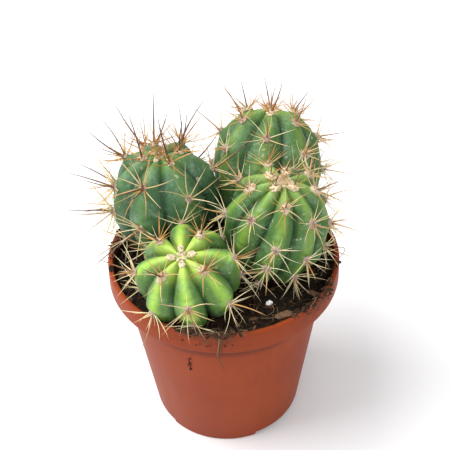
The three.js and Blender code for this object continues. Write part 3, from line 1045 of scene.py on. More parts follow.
        def fork(s: float) -> Vector:
            """A shorter branch of the same root that ends beside it."""
            at = hang(0.55 * s)
            return at + Vector((-2.6 * s * (1.0 - 0.5 * s), -0.1 * s, 0.0))

        def loop(s: float) -> Vector:
            """A thin loop that leaves the soil at the right, swings out over the rim and back.

            Args:
                s: how far along the loop, from 0 to 1.

            Returns:
                The place.
            """
            turn = math.pi * (0.15 + 1.1 * s)
            high = top + 0.8 + 3.5 * math.sin(turn) - 5.0 * s * s
            return Vector((56.2 + 6.2 * math.sin(turn), -2.0 - 10.0 * s, high))

        self.thread(bm, shop, rng, Vector(), 20.0, 0.55, hang)
        self.thread(bm, shop, rng, Vector(), 20.0, 0.4, fork)
        self.thread(bm, shop, rng, Vector(), 12.0, 0.22, loop)
        for degrees in self.caught:
            angle, swing = math.radians(degrees), rng.uniform(-0.1, 0.1)

            def across(s: float) -> Vector:
                """Across the rim's top, arched a little."""
                turn = angle + swing * s + 0.05 * math.sin(6.0 * s)
                return polar(56.8 + 4.0 * s, turn, top + 0.35 + 0.5 * math.sin(3.0 * s))

            self.thread(bm, shop, rng, Vector(), 7.0, rng.uniform(0.12, 0.24), across)


@dataclass(frozen=True)
class Bit:
    """A grain, chip or pebble that lies in its own shallow seat in the soil.

    It is given by its place, its length, width and height, and its turn in degrees.
    """

    node: str
    x: float
    y: float
    size: tuple[float, float, float]
    turn: float
    slot: str

    def build(self, shop: Workshop, soil: Soil, finish: StoneFinish | CrumbFinish) -> None:
        """Makes the fine form inside the solid's own.

        Args:
            shop: makes the pieces and holds the small shapes.
            soil: the soil that it lies in.
            finish: its finish.
        """
        bm = bmesh.new()
        shade = layers(bm, "shade")[0]
        bmesh.ops.create_icosphere(bm, subdivisions=4, radius=0.5)
        spin = Matrix.Rotation(math.radians(self.turn), 3, "Z")
        place = Vector((self.x, self.y, soil.top(self.x, self.y) + self.size[2] * 0.15))
        chip = self.slot == "bark"
        for vert in bm.verts:
            at = vert.co.copy()
            rough = 1.0 + 0.22 * math.sin(9.0 * at.x + len(self.node)) * math.cos(7.0 * at.y - 5.0 * at.z)
            grain = Vector((at.x * (3.0 if chip else 5.0), at.y * 8.0, at.z * 5.0))
            rough += 0.1 * fractal.fractal(grain, 0.8, 2.0, 3)
            flat = max(at.z * rough, -0.3)
            form = Vector((at.x * rough * self.size[0], at.y * rough * self.size[1], flat * self.size[2]))
            vert.co = place + spin @ form
            vert[shade] = 0.45 + 0.25 * fractal.noise(at * 4.0)
        shop.piece(f"{self.node}_form", bm, finish.material(), self.slot, self.node)


# Plants


class Kind(Enum):
    """Where a spine stands in its areole, with its radius at the root in millimetres."""

    CENTRAL = 0.5
    SECOND = 0.38
    RADIAL = 0.31
    SHORT = 0.25


@dataclass
class Spine:
    """One spine as a line from its root to its tip."""

    root: Vector
    tip: Vector
    kind: Kind
    seed: float
    age: float


@dataclass
class Areole:
    """A woolly cushion on a rib's crest: its place, outward way, way to the crown and distance from it."""

    at: Vector
    out: Vector
    up: Vector
    arc: float
    seed: float
    spines: list[Spine] = field(default_factory=list)

    def way(self, turn: float, rise: float) -> Vector:
        """A direction turned round the areole from the crown's side, and risen off the skin.

        Args:
            turn: the turn from the crown's side, in radians.
            rise: the angle over the skin, in radians.

        Returns:
            The unit direction.
        """
        side = self.out.cross(self.up)
        along = self.up * math.cos(turn) + side * math.sin(turn)
        return along * math.cos(rise) + self.out * math.sin(rise)


@dataclass(frozen=True)
class Growth:
    """Rules shared by all the plants, the same as the solids'."""

    waist: float = 0.5
    crown_power: float = 2.2
    root_taper: float = 0.25
    root: float = STEM_ROOT
    crown_fade: float = 0.42
    dimple_spread: float = 0.24
    swell_spread: float = 4.5
    arc_steps: int = 240
    probe: float = 0.02
    uneven: float = 1.4
    cramped_at: float = 48.0
    cramped: float = 6.2
    pressed: float = 2.0
    lowest: float = -0.93
    over_soil: float = 2.0
    confine_radius: float = 55.9
    confine_lip: float = 106.5
    confine_slope: float = 1.5
    reach: float = 90.0
    soften: float = 4.0
    contact: float = 0.4
    radials: int = 6
    radial_rise: float = 27.0
    radial_spread: float = 16.0
    central_rise: float = 76.0
    spread: float = 0.36
    grows_from: float = 4.0
    full_at: float = 19.0
    fewest: int = 3
    extra_left_out: float = 0.22
    extra_rise: tuple[float, float] = (20.0, 22.0)
    extra_length: tuple[float, float] = (0.55, 0.45)
    second_most: float = 2.3
    second_rise: tuple[float, float] = (48.0, 20.0)
    second_length: tuple[float, float] = (0.75, 0.45)
    bud_rise: tuple[float, float] = (52.0, 30.0)
    bud_length: tuple[float, float] = (0.2, 0.22)
    bud_seed: int = 500
    tries: int = 5
    bend: float = 8.0
    shorten: float = 0.08
    samples: int = 14
    clear: float = 0.8
    clear_body: float = 0.9
    clear_spine: float = 1.6


@dataclass(frozen=True)
class Felt:
    """Form of the areoles' felt: widths as shares of a plant's own, the rest as shares of the width."""

    wide: float = 1.65
    narrows: float = 0.2
    at_crown: float = 0.4
    crown_arcs: tuple[float, float] = (1.0, 8.0)
    old_arcs: tuple[float, float] = (5.0, 30.0)
    tall: float = 0.55
    long: float = 1.5
    shortens: float = 0.35
    lump: float = 0.5
    hairs: int = 46
    hair_radius: float = 0.07
    hair_rise: tuple[float, float] = (12.0, 70.0)
    hair_length: tuple[float, float] = (0.75, 0.6)
    hair_curl: float = 0.35


RULE = Growth()
FELT = Felt()


@dataclass
class Plant:
    """One ribbed plant. Its points are found from a rib angle and a place w from crown (1) to soil (-1)."""

    name: str
    seed: int
    x: float
    y: float
    height: float
    radius: float
    lean_x: float
    lean_y: float
    stem: float
    ribs: int
    phase: float
    depth: float
    sharp: float
    swell: float
    dimple: float
    first_even: float
    first_odd: float
    pitch: float
    central: float
    radial: float
    tuft: float
    young: float
    buds: tuple[float, float, int]
    skin_finish: SkinFinish
    slot: str
    tone: tuple[float, float]
    wool: float
    worn: float
    per_rib: int = 14
    rows: int = 96
    root_rows: int = 4
    level: float = SOIL_LEVEL
    lift: float = 0.0
    twist: float = 0.0
    bunch: float = 0.0
    bunch_at: float = 0.0
    limits: list[tuple[Vector, float]] = field(default_factory=list)
    lines: list[Spine] = field(default_factory=list)
    cushions: list[Areole] = field(default_factory=list)

    def __post_init__(self) -> None:
        """Sets the plant up in its place and measures its outline."""
        axis = Vector((math.sin(math.radians(self.lean_x)), math.sin(math.radians(self.lean_y)), 0.0))
        axis.z = math.sqrt(1.0 - axis.length_squared)
        side = Vector((0.0, 1.0, 0.0)).cross(axis).normalized()
        self.matrix = Matrix((side, axis.cross(side), axis)).transposed().to_4x4()
        self.matrix.translation = Vector((self.x, self.y, self.level + self.lift))
        self.inverse = self.matrix.inverted()
        self.centre = self.matrix @ Vector((0.0, 0.0, RULE.waist * self.height))
        self.arcs = [0.0]
        last = self.outline(1.0)
        for i in range(1, RULE.arc_steps + 1):
            here = self.outline(1.0 - 2.0 * i / RULE.arc_steps)
            self.arcs.append(self.arcs[-1] + math.dist(here, last))
            last = here

    def outline(self, w: float) -> tuple[float, float]:
        """Radius and height of the smooth outline at w; below -1 it is the buried root.

        Args:
            w: a place from crown (1) to soil (-1).

        Returns:
            Radius and height over the soil, in mm.
        """
        if w >= 0.0:
            a = w * math.pi / 2.0
            power = 2.0 / RULE.crown_power
            high = math.sin(a) ** power
            return (self.radius * max(0.0, math.cos(a)) ** power,
                    self.height * (RULE.waist + (1.0 - RULE.waist) * high))
        if w >= -1.0:
            a = -w * math.pi / 2.0
            return (self.radius * (self.stem + (1.0 - self.stem) * math.cos(a)),
                    self.height * RULE.waist * (1.0 - math.sin(a)))
        deep = -1.0 - w
        return self.radius * self.stem * (1.0 - RULE.root_taper * deep), -RULE.root * deep

    def slope(self, w: float) -> tuple[float, float]:
        """The outline's unit direction down the plant at w.

        Args:
            w: a place from crown (1) to soil (-1).

        Returns:
            The direction's outward and upward parts.
        """
        above, below = self.outline(min(1.0, w + 1e-3)), self.outline(w - 1e-3)
        dr, dz = below[0] - above[0], below[1] - above[1]
        size = math.hypot(dr, dz)
        return dr / size, dz / size

    def arc_at(self, w: float) -> float:
        """The distance along the outline from the crown to w.

        Args:
            w: a place from crown (1) to soil (-1).

        Returns:
            The distance, in mm.
        """
        place = min(max((1.0 - w) / 2.0, 0.0), 1.0) * RULE.arc_steps
        i = min(int(place), RULE.arc_steps - 1)
        return self.arcs[i] + (place - i) * (self.arcs[i + 1] - self.arcs[i])

    def w_at(self, arc: float) -> float:
        """The place w at a distance along the outline from the crown.

        Args:
            arc: the distance, in mm.

        Returns:
            The place.
        """
        i = next((n for n, a in enumerate(self.arcs) if n and a >= arc), RULE.arc_steps)
        share = (arc - self.arcs[i - 1]) / (self.arcs[i] - self.arcs[i - 1])
        return 1.0 - 2.0 * (i - 1 + share) / RULE.arc_steps

    def angle_of(self, rib: float, t: float) -> float:
        """The angle round the axis at which a rib coordinate lies (0 at crest 0, 1 at crest 1 ...).

        Args:
            rib: a rib coordinate: whole at a crest, half way at a groove.
            t: the height as a share of the plant's, which turns a twisted rib.

        Returns:
            The angle, in radians.
        """
        even = math.radians(self.phase + self.twist * t) + rib * TURN / self.ribs
        if not self.bunch:
            return even
        bunch, at, angle = math.radians(self.bunch), math.radians(self.bunch_at), even
        for _ in range(8):
            angle = even - bunch * math.sin(angle - at)
        return angle

    def first_arc(self, k: int) -> float:
        """Where the first areole of rib k lies: even and odd ribs are staggered."""
        return self.first_odd if k % 2 else self.first_even

    def fade(self, w: float, r: float) -> float:
        """Ribs and swellings run out at the crown and at the soil.

        Args:
            w: a place from crown (1) to soil (-1).
            r: the smooth outline's radius there, in mm.

        Returns:
            The share of the full relief, from 0 to 1.
        """
        if w > 0.0:
            return smoothstep(r / self.radius, 0.0, RULE.crown_fade)
        return max(0.0, 1.0 - abs(w) ** 6)

    def from_areole(self, rib: float, w: float) -> float:
        """The distance along the rib from its nearest areole, negative towards the crown."""
        row = (self.arc_at(w) - self.first_arc(round(rib) % self.ribs)) / self.pitch
        return (row - max(0.0, math.floor(row + 0.5))) * self.pitch

    def relief(self, rib: float, w: float, r: float) -> float:
        """How far the skin stands out from the smooth outline: grooves go in, areoles swell out.

        Args:
            rib: a rib coordinate: whole at a crest, half way at a groove.
            w: a place from crown (1) to soil (-1).
            r: the smooth outline's radius there, in mm.

        Returns:
            The distance outwards, in mm.
        """
        across = 2.0 * abs(rib - math.floor(rib + 0.5))
        fade = self.fade(w, r)
        off = self.from_areole(math.floor(rib + 0.5), w) / RULE.swell_spread
        swell = self.swell * math.exp(-off * off) * (1.0 - across * across) * fade
        return swell - self.depth * across ** self.sharp * fade

    def detail(self, rib: float, w: float, r: float) -> float:
        """Low relief over the solids' own: creases in the grooves, notches over areoles, slight waves.

        Args:
            rib: a rib coordinate: whole at a crest, half way at a groove.
            w: a place from crown (1) to soil (-1).
            r: the smooth outline's radius there, in mm.

        Returns:
            The distance outwards, in mm.
        """
        if w < -1.0:
            return 0.0
        across = 2.0 * abs(rib - math.floor(rib + 0.5))
        width = max(r, 0.6) * math.pi / self.ribs
        fades = 1.0 if w > -0.9 else 0.3
        crease = 1.7 * bell((1.0 - across) * width, 0.75) * smoothstep(r, 0.3, 6.0) * fades
        off = self.from_areole(math.floor(rib + 0.5), w)
        notch = 0.6 * bell(off + 3.1 + 5.0 * across * across, 0.75) * (1.0 - across) * self.fade(w, r)
        at = polar(r, rib * TURN / self.ribs, self.outline(w)[1])
        own = Vector((self.seed, 0.0, 0.0))
        waves = 0.28 * fractal.noise(at * 0.16 + own) + 0.1 * fractal.noise(at * 0.5)
        return waves * smoothstep(r, 1.0, 8.0) - crease - notch

    def free(self, rib: float, w: float, fine: bool = False) -> Vector:
        """A point of the skin before neighbours and pot press on it.

        Args:
            rib: a rib coordinate: whole at a crest, half way at a groove.
            w: a place from crown (1) to soil (-1).
            fine: whether the low relief is added.

        Returns:
            The point.
        """
        r, z = self.outline(w)
        dr, dz = self.slope(w)
        out = 0.0 if w < -1.0 else self.relief(rib, w, r)
        if fine:
            out += self.detail(rib, w, r)
        dent = self.dimple * bell(r, RULE.dimple_spread * self.radius) if w > 0.0 else 0.0
        radius = max(0.0, r - out * dz)
        angle = self.angle_of(rib, z / self.height)
        return self.matrix @ polar(radius, angle, z + out * dr - dent)

    def skin(self, rib: float, w: float, fine: bool = False) -> Vector:
        """The same point, held back smoothly by the neighbours' planes and the pot's wall and lip.

        Args:
            rib: a rib coordinate: whole at a crest, half way at a groove.
            w: a place from crown (1) to soil (-1).
            fine: whether the low relief is added.

        Returns:
            The point.
        """
        away = self.free(rib, w, fine) - self.centre
        length = away.length
        if length:
            away /= length
        for normal, distance in self.limits:
            facing = away.dot(normal)
            if facing > 0.02:
                length = soft_min(length, distance / facing, RULE.soften)
        if not self.within(self.centre + away * (length + RULE.soften)):
            length = soft_min(length, self.wall_reach(away), RULE.soften)
        return self.centre + away * length

    @staticmethod
    def within(at: Vector) -> bool:
        """Whether a point is inside the pot's wall, or over its lip inside the slope."""
        wide = RULE.confine_radius + max(0.0, at.z - RULE.confine_lip) * RULE.confine_slope
        return math.hypot(at.x, at.y) < wide

    def wall_reach(self, away: Vector) -> float:
        """How far a ray from the plant's centre goes before it meets the pot's wall or lip.

        Args:
            away: the ray's unit direction.

        Returns:
            The distance, in mm.
        """
        near, far = 0.0, RULE.reach
        for _ in range(24):
            middle = (near + far) / 2.0
            if self.within(self.centre + away * middle):
                near = middle
            else:
                far = middle
        return near

    def holds(self, point: Vector, margin: float) -> bool:
        """Whether a point lies in the plant's smooth outline, with a margin.

        Args:
            point: the point.
            margin: how far outside it still counts, in mm.

        Returns:
            True if it does.
        """
        at = self.inverse @ point
        t = at.z / self.height
        if at.z < -RULE.root or at.z > self.height + margin:
            return False
        up = min(1.0, max(0.0, (t - RULE.waist) / (1.0 - RULE.waist)))
        down = min(1.0, max(0.0, (RULE.waist - t) / RULE.waist))
        high = (1.0 - up ** RULE.crown_power) ** (1.0 / RULE.crown_power)
        low = self.stem + (1.0 - self.stem) * math.sqrt(1.0 - down * down)
        return math.hypot(at.x, at.y) < self.radius * (high if t > RULE.waist else low) + margin

    def stem_holds(self, point: Vector, margin: float) -> bool:
        """Whether a place at soil level lies in the stem's plain hole."""
        at = self.inverse @ point
        return math.hypot(at.x, at.y) < self.radius * self.stem + margin

    def areole(self, k: int, arc: float, seed: float) -> Areole:
        """The areole of rib k at a distance from the crown.

        Args:
            k: the rib's number.
            arc: the distance, in mm.
            seed: the seed of its draws.

        Returns:
            The areole, without its spines.
        """
        w = self.w_at(arc)
        up = (self.skin(k, w + RULE.probe) - self.skin(k, w - RULE.probe)).normalized()
        across = self.skin(k + RULE.probe, w) - self.skin(k - RULE.probe, w)
        return Areole(self.skin(k, w), across.cross(up).normalized(), up, arc, seed)

    def areole_seed(self, k: int, j: int) -> int:
        """The seed of the draws for areole j of rib k."""
        return self.seed * 1000 + k * 37 + j * 5

    def find_areoles(self, soil: Soil) -> list[Areole]:
        """Areoles in rows down each rib, where there is room for them.

        Args:
            soil: the soil, which an areole has to clear.

        Returns:
            The areoles, without their spines.
        """
        found = []
        for k in range(self.ribs):
            for j in itertools.count():
                seed = self.areole_seed(k, j)
                even = self.first_arc(k) + j * self.pitch
                closer = RULE.cramped if even > RULE.cramped_at else 0.0
                arc = even - closer + (RULE.uneven * (draw(seed) - 0.5) if j else 0.0)
                if arc > self.arcs[-1]:
                    break
                w = self.w_at(arc)
                at = self.skin(k, w)
                pressed = (at - self.free(k, w)).length > RULE.pressed
                if pressed or w < RULE.lowest or at.z < soil.top(at.x, at.y) + RULE.over_soil:
                    continue
                found.append(self.areole(k, arc, seed))
        return found

    def grown(self, areole: Areole) -> float:
        """How long an areole's spines are, as a share of their full length."""
        return self.young + (1.0 - self.young) * smoothstep(areole.arc, RULE.grows_from, RULE.full_at)

    def wanted(self, areole: Areole) -> list[tuple[float, float, float]]:
        """Turn, rise and length of the main spines of an areole, the central one last.

        Args:
            areole: the areole.

        Returns:
            The spines' turns, rises and lengths.
        """
        grown = self.grown(areole)
        found, seed = [], areole.seed
        for m in range(RULE.radials):
            turn = (m + 0.4 * (draw(seed + m * 0.31) - 0.5)) * TURN / RULE.radials
            rise = math.radians(RULE.radial_rise + RULE.radial_spread * (draw(seed + m * 0.57) - 0.5))
            length = self.radial * grown * (1.0 + RULE.spread * (draw(seed + m * 0.83) - 0.5))
            found.append((turn, rise, length))
        length = self.central * grown * self.tuft * (1.0 + RULE.spread * (draw(seed + 0.71) - 0.5))
        found.append((TURN * draw(seed + 0.19), math.radians(RULE.central_rise), length))
        return found

    def extra(self, areole: Areole) -> list[tuple[float, float, float, Kind]]:
        """Turn, rise, length and kind of the finer spines between the main ones.

        Args:
            areole: the areole.

        Returns:
            The spines' turns, rises, lengths and kinds.
        """
        grown = self.grown(areole)
        seed, found = areole.seed + 0.5, []
        for m in range(RULE.radials):
            if draw(seed + m * 0.43) < RULE.extra_left_out:
                continue
            turn = (m + 0.5 + 0.5 * (draw(seed + m * 0.29) - 0.5)) * TURN / RULE.radials
            rise = math.radians(drawn(RULE.extra_rise, seed + m * 0.61))
            length = self.radial * grown * drawn(RULE.extra_length, seed + m * 0.77)
            found.append((turn, rise, length, Kind.SHORT))
        for m in range(1 + int(RULE.second_most * draw(seed + 0.13))):
            turn = TURN * draw(seed + m * 0.53)
            rise = math.radians(drawn(RULE.second_rise, seed + m * 0.37))
            length = (0.5 * self.central * self.tuft + 0.3 * self.radial) * grown
            found.append((turn, rise, length * drawn(RULE.second_length, seed + m * 0.91), Kind.SECOND))
        return found

    def new_areoles(self) -> list[Areole]:
        """The newest areoles, crowded round the growing point.

        Returns:
            The areoles, on the ribs that have one.
        """
        found = []
        for k in range(self.ribs):
            seed = self.areole_seed(k, 0) + RULE.bud_seed
            arc = self.buds[k % 2] * (0.85 + 0.3 * draw(seed))
            if arc:
                found.append(self.areole(k, arc, seed))
        return found

    # Meshes

    def build(self, shop: Workshop, spine_horn: bpy.types.Material, wool: bpy.types.Material) -> None:
        """Makes the plant's skin, wool and spines, which stand for its node together.

        Args:
            shop: makes the pieces and holds the small shapes.
            spine_horn: the spines' material.
            wool: the felt's material.
        """
        shop.piece(f"{self.name}_skin", self.make_skin(), self.skin_finish.material(), self.slot, self.name)
        shop.piece(f"{self.name}_wool", self.make_wool(shop), wool, self.slot, self.name)
        shop.piece(f"{self.name}_spines", self.make_spines(shop), spine_horn, self.slot, self.name)

    def place_of_row(self, row: int) -> float:
        """The place w of one of the skin's rows: even from the crown down to the soil, then the root.

        Args:
            row: the row's number, from 0 at the crown.

        Returns:
            The place w.
        """
        if row == 0:
            return 1.0
        if row > self.rows:
            return -1.0 - (row - self.rows) / self.root_rows
        return self.w_at(self.arcs[-1] * row / self.rows)

    def make_skin(self) -> bmesh.types.BMesh:
        """The ribbed body: a ball whose rows follow the outline and whose columns follow the ribs.

        Returns:
            The body, in mm.
        """
        columns, rows = self.ribs * self.per_rib, self.rows + self.root_rows
        bm = bmesh.new()
        crest, tall, near, age = layers(bm, "crest", "tall", "near", "age")
        bmesh.ops.create_uvsphere(bm, u_segments=columns, v_segments=rows, radius=1.0)
        for vert in bm.verts:
            row = round(math.acos(max(-1.0, min(1.0, vert.co.z))) / math.pi * rows)
            column = round(math.atan2(vert.co.y, vert.co.x) / TURN * columns) if 0 < row < rows else 0
            rib = column / self.per_rib
            arc = self.arcs[-1] * row / self.rows
            w = self.place_of_row(row)
            r, z = self.outline(w)
            across = 2.0 * abs(rib - math.floor(rib + 0.5))
            off = self.from_areole(math.floor(rib + 0.5), w)
            # The crest share places the skin's painted highlight on the crests and its painted shade in the
            # grooves.
            vert[crest] = 1.0 - across * smoothstep(r, 0.0, 5.0)
            vert[tall] = z / self.height
            vert[near] = bell(math.hypot(off, across * r * math.pi / self.ribs), 4.0)
            vert[age] = smoothstep(arc, 0.0, 26.0)
            if row == rows:
                vert.co = self.matrix @ Vector((0.0, 0.0, -RULE.root))
            else:
                vert.co = self.skin(rib, w, fine=True)
        return bm

    def make_wool(self, shop: Workshop) -> bmesh.types.BMesh:
        """A lumpy felt cushion with short hairs on each areole.

        Args:
            shop: makes the pieces and holds the small shapes.

        Returns:
            All the plant's felt, in mm.
        """
        bm = bmesh.new()
        along, age = layers(bm, "along", "age")
        for areole in self.cushions:
            old = min(1.0, self.worn + smoothstep(areole.arc, *FELT.old_arcs))
            grown = FELT.at_crown + (1.0 - FELT.at_crown) * smoothstep(areole.arc, *FELT.crown_arcs)
            wide = self.wool * (FELT.wide - FELT.narrows * old) * grown
            tall = wide * FELT.tall
            long = FELT.long - FELT.shortens * old
            side = areole.out.cross(areole.up)
            shift = Vector((areole.seed % 97, areole.arc, 0.0))
            for vert in bmesh.ops.create_icosphere(bm, subdivisions=3, radius=1.0)["verts"]:
                lumps = fractal.fractal(vert.co * 2.4 + shift, 0.7, 2.2, 3)
                form = vert.co * (1.0 + FELT.lump * lumps)
                vert.co = areole.at + side * form.x * wide + areole.up * form.y * wide * long
                vert.co += areole.out * (form.z * tall + 0.1)
                vert[age] = old
            for m in range(FELT.hairs):
                seed = areole.seed + m * 0.017
                way = areole.way(TURN * draw(seed + 0.3), math.radians(drawn(FELT.hair_rise, seed + 0.6)))
                root = areole.at + way * wide * 0.5
                length = wide * drawn(FELT.hair_length, seed + 0.8)
                first, second = square_frame(way)
                curl = (first if draw(seed) > 0.5 else second) * length * FELT.hair_curl
                for vert in add_shape(bm, shop.hair):
                    s = vert.co.z
                    thick = FELT.hair_radius * (1.0 - 0.5 * s)
                    flat = first * vert.co.x * thick + second * vert.co.y * thick
                    vert.co = root + way * length * s + flat + curl * s * s
                    vert[age], vert[along] = old, 0.4 + 0.6 * s
        return bm

    def make_spines(self, shop: Workshop) -> bmesh.types.BMesh:
        """Every spine as a tapering, slightly bowed needle with its root sunk under the wool.

        Args:
            shop: makes the pieces and holds the small shapes.

        Returns:
            All the plant's spines, in mm.
        """
        bm = bmesh.new()
        tone, age = layers(bm, "tone", "age")
        low, high = self.tone
        for spine in self.lines:
            line = spine.tip - spine.root
            length = line.length
            way = line / length
            first, second = square_frame(way)
            turn = TURN * draw(spine.seed + 0.47)
            bow = (first * math.cos(turn) + second * math.sin(turn)) * length
            bow *= 0.02 + 0.07 * draw(spine.seed + 0.23)
            root = spine.root - way * 0.6
            stout = spine.kind.value * math.sqrt(self.central / 20.0)
            radius = stout * (0.8 + 0.3 * draw(spine.seed + 0.87)) * (0.55 + 0.45 * min(1.0, length / 9.0))
            shade = {Kind.CENTRAL: high, Kind.SECOND: 0.75 * high}.get(spine.kind, low)
            shade += 0.35 * (draw(spine.seed + 0.11) - 0.35) + 0.5 * (0.45 - spine.age)
            for vert in add_shape(bm, shop.needle):
                s = vert.co.z
                thick = radius * ((1.0 - s) ** 0.75 + 0.35 * bell(s, 0.08))
                flat = (first * vert.co.x + second * vert.co.y) * thick
                vert.co = root + (spine.tip - root) * s + flat + bow * 4.0 * s * (1.0 - s)
                vert[tone], vert[age] = shade, spine.age
        return bm


def segments_apart(a: Spine, b: Spine) -> float:
    """The shortest distance between two spines' lines.

    Args:
        a: one spine.
        b: the other spine.

    Returns:
        The distance, in mm.
    """
    d1, d2, r = a.tip - a.root, b.tip - b.root, a.root - b.root
    aa, ee, f, c, bb = d1.dot(d1), d2.dot(d2), d2.dot(r), d1.dot(r), d1.dot(d2)
    below = aa * ee - bb * bb
    s = min(max((bb * f - c * ee) / below, 0.0), 1.0) if below > 1e-12 else 0.0
    t = (bb * s + f) / ee
    if t < 0.0:
        t, s = 0.0, min(max(-c / aa, 0.0), 1.0)
    elif t > 1.0:
        t, s = 1.0, min(max((bb - c) / aa, 0.0), 1.0)
    return ((a.root + d1 * s) - (b.root + d2 * t)).length


@dataclass
class Crowd:
    """The four plants together: how they press on each other and keep their spines apart."""

    plants: list[Plant]
    soil: Soil
    pot: Pot

    def settle(self) -> None:
        """Presses the plants together, then places every areole and spine."""
        for i, one in enumerate(self.plants):
            for other in self.plants[i + 1:]:
                normal = other.centre - one.centre
                apart = normal.length
                normal = normal / apart
                share = (apart ** 2 + one.radius ** 2 - other.radius ** 2) / (2.0 * apart)
                one.limits.append((normal, share - RULE.contact / 2.0))
                other.limits.append((-normal, apart - share - RULE.contact / 2.0))
        for plant in self.plants:
            plant.cushions = plant.find_areoles(self.soil)
            for areole in plant.cushions:
                wanted = plant.wanted(areole)
                placed = [self.place(plant, areole, *spec, Kind.RADIAL) for spec in wanted[:-1]]
                placed.append(self.place(plant, areole, *wanted[-1], Kind.CENTRAL))
                placed = [s for s in placed if s]
                areole.spines = placed if len(placed) >= RULE.fewest else []
                plant.lines += areole.spines
            plant.cushions = [areole for areole in plant.cushions if areole.spines]
        for plant in self.plants:
            for areole in plant.cushions:
                plant.lines += [s for spec in plant.extra(areole) if (s := self.place(plant, areole, *spec))]
            for bud in plant.new_areoles():
                plant.cushions.append(bud)
                plant.lines += self.bud_spines(plant, bud)

    @staticmethod
    def bud_spines(plant: Plant, bud: Areole) -> list[Spine]:
        """Short new spines that stand up from a bud.

        Args:
            plant: the plant.
            bud: the bud.

        Returns:
            The spines.
        """
        found = []
        for m in range(plant.buds[2]):
            seed = bud.seed + m * 0.37
            way = bud.way(TURN * draw(seed), math.radians(drawn(RULE.bud_rise, seed + 0.3)))
            length = plant.radial * drawn(RULE.bud_length, seed + 0.6)
            found.append(Spine(bud.at, bud.at + way * length, Kind.SHORT, seed, 0.0))
        return found

    def place(self, plant: Plant, areole: Areole, turn: float, rise: float, length: float,
              kind: Kind) -> Spine | None:
        """Places a spine, raised off the skin in steps and shortened where something is in its way.

        Args:
            plant: the plant that it grows on.
            areole: the areole that it grows from.
            turn: its direction round the areole, from the crown's side.
            rise: its angle over the skin.
            length: its full length.
            kind: where it stands in the areole.

        Returns:
            The spine, or None if there is no room for it.
        """
        top = math.radians(RULE.central_rise)
        age = smoothstep(areole.arc, 6.0, 45.0)
        for step in range(RULE.tries):
            way = areole.way(turn, min(rise + math.radians(RULE.bend * step), top))
            tip = areole.at + way * length * (1.0 - RULE.shorten * step)
            spine = Spine(areole.at, tip, kind, areole.seed + turn, age)
            if self.is_clear(spine, plant):
                return spine
        return None

    def is_clear(self, spine: Spine, owner: Plant) -> bool:
        """Whether a spine stays clear of the soil, the pot and the other plants.

        Args:
            spine: the spine.
            owner: the plant that it grows on.

        Returns:
            True if it does.
        """
        inner = self.pot.rim - self.pot.lip
        for i in range(2, RULE.samples + 1):
            at = spine.root.lerp(spine.tip, i / RULE.samples)
            radius = math.hypot(at.x, at.y)
            if radius < inner + self.pot.wall and at.z < self.soil.top(at.x, at.y) + RULE.clear:
                return False
            over_rim = inner - RULE.clear < radius < self.pot.rim + self.pot.flare + RULE.clear
            if over_rim and at.z < self.pot.height + RULE.clear:
                return False
            if radius < self.pot.rim and at.z < self.soil.level - RULE.clear:
                return False
            if any(p is not owner and p.holds(at, RULE.clear_body) for p in self.plants):
                return False
        middle, half = (spine.root + spine.tip) / 2.0, (spine.tip - spine.root).length / 2.0
        for other in self.plants:
            if other is owner:
                continue
            for taken in other.lines:
                apart = (middle - (taken.root + taken.tip) / 2.0).length
                if apart - half - (taken.tip - taken.root).length / 2.0 > RULE.clear_spine:
                    continue
                if segments_apart(spine, taken) < RULE.clear_spine:
                    return False
        return True


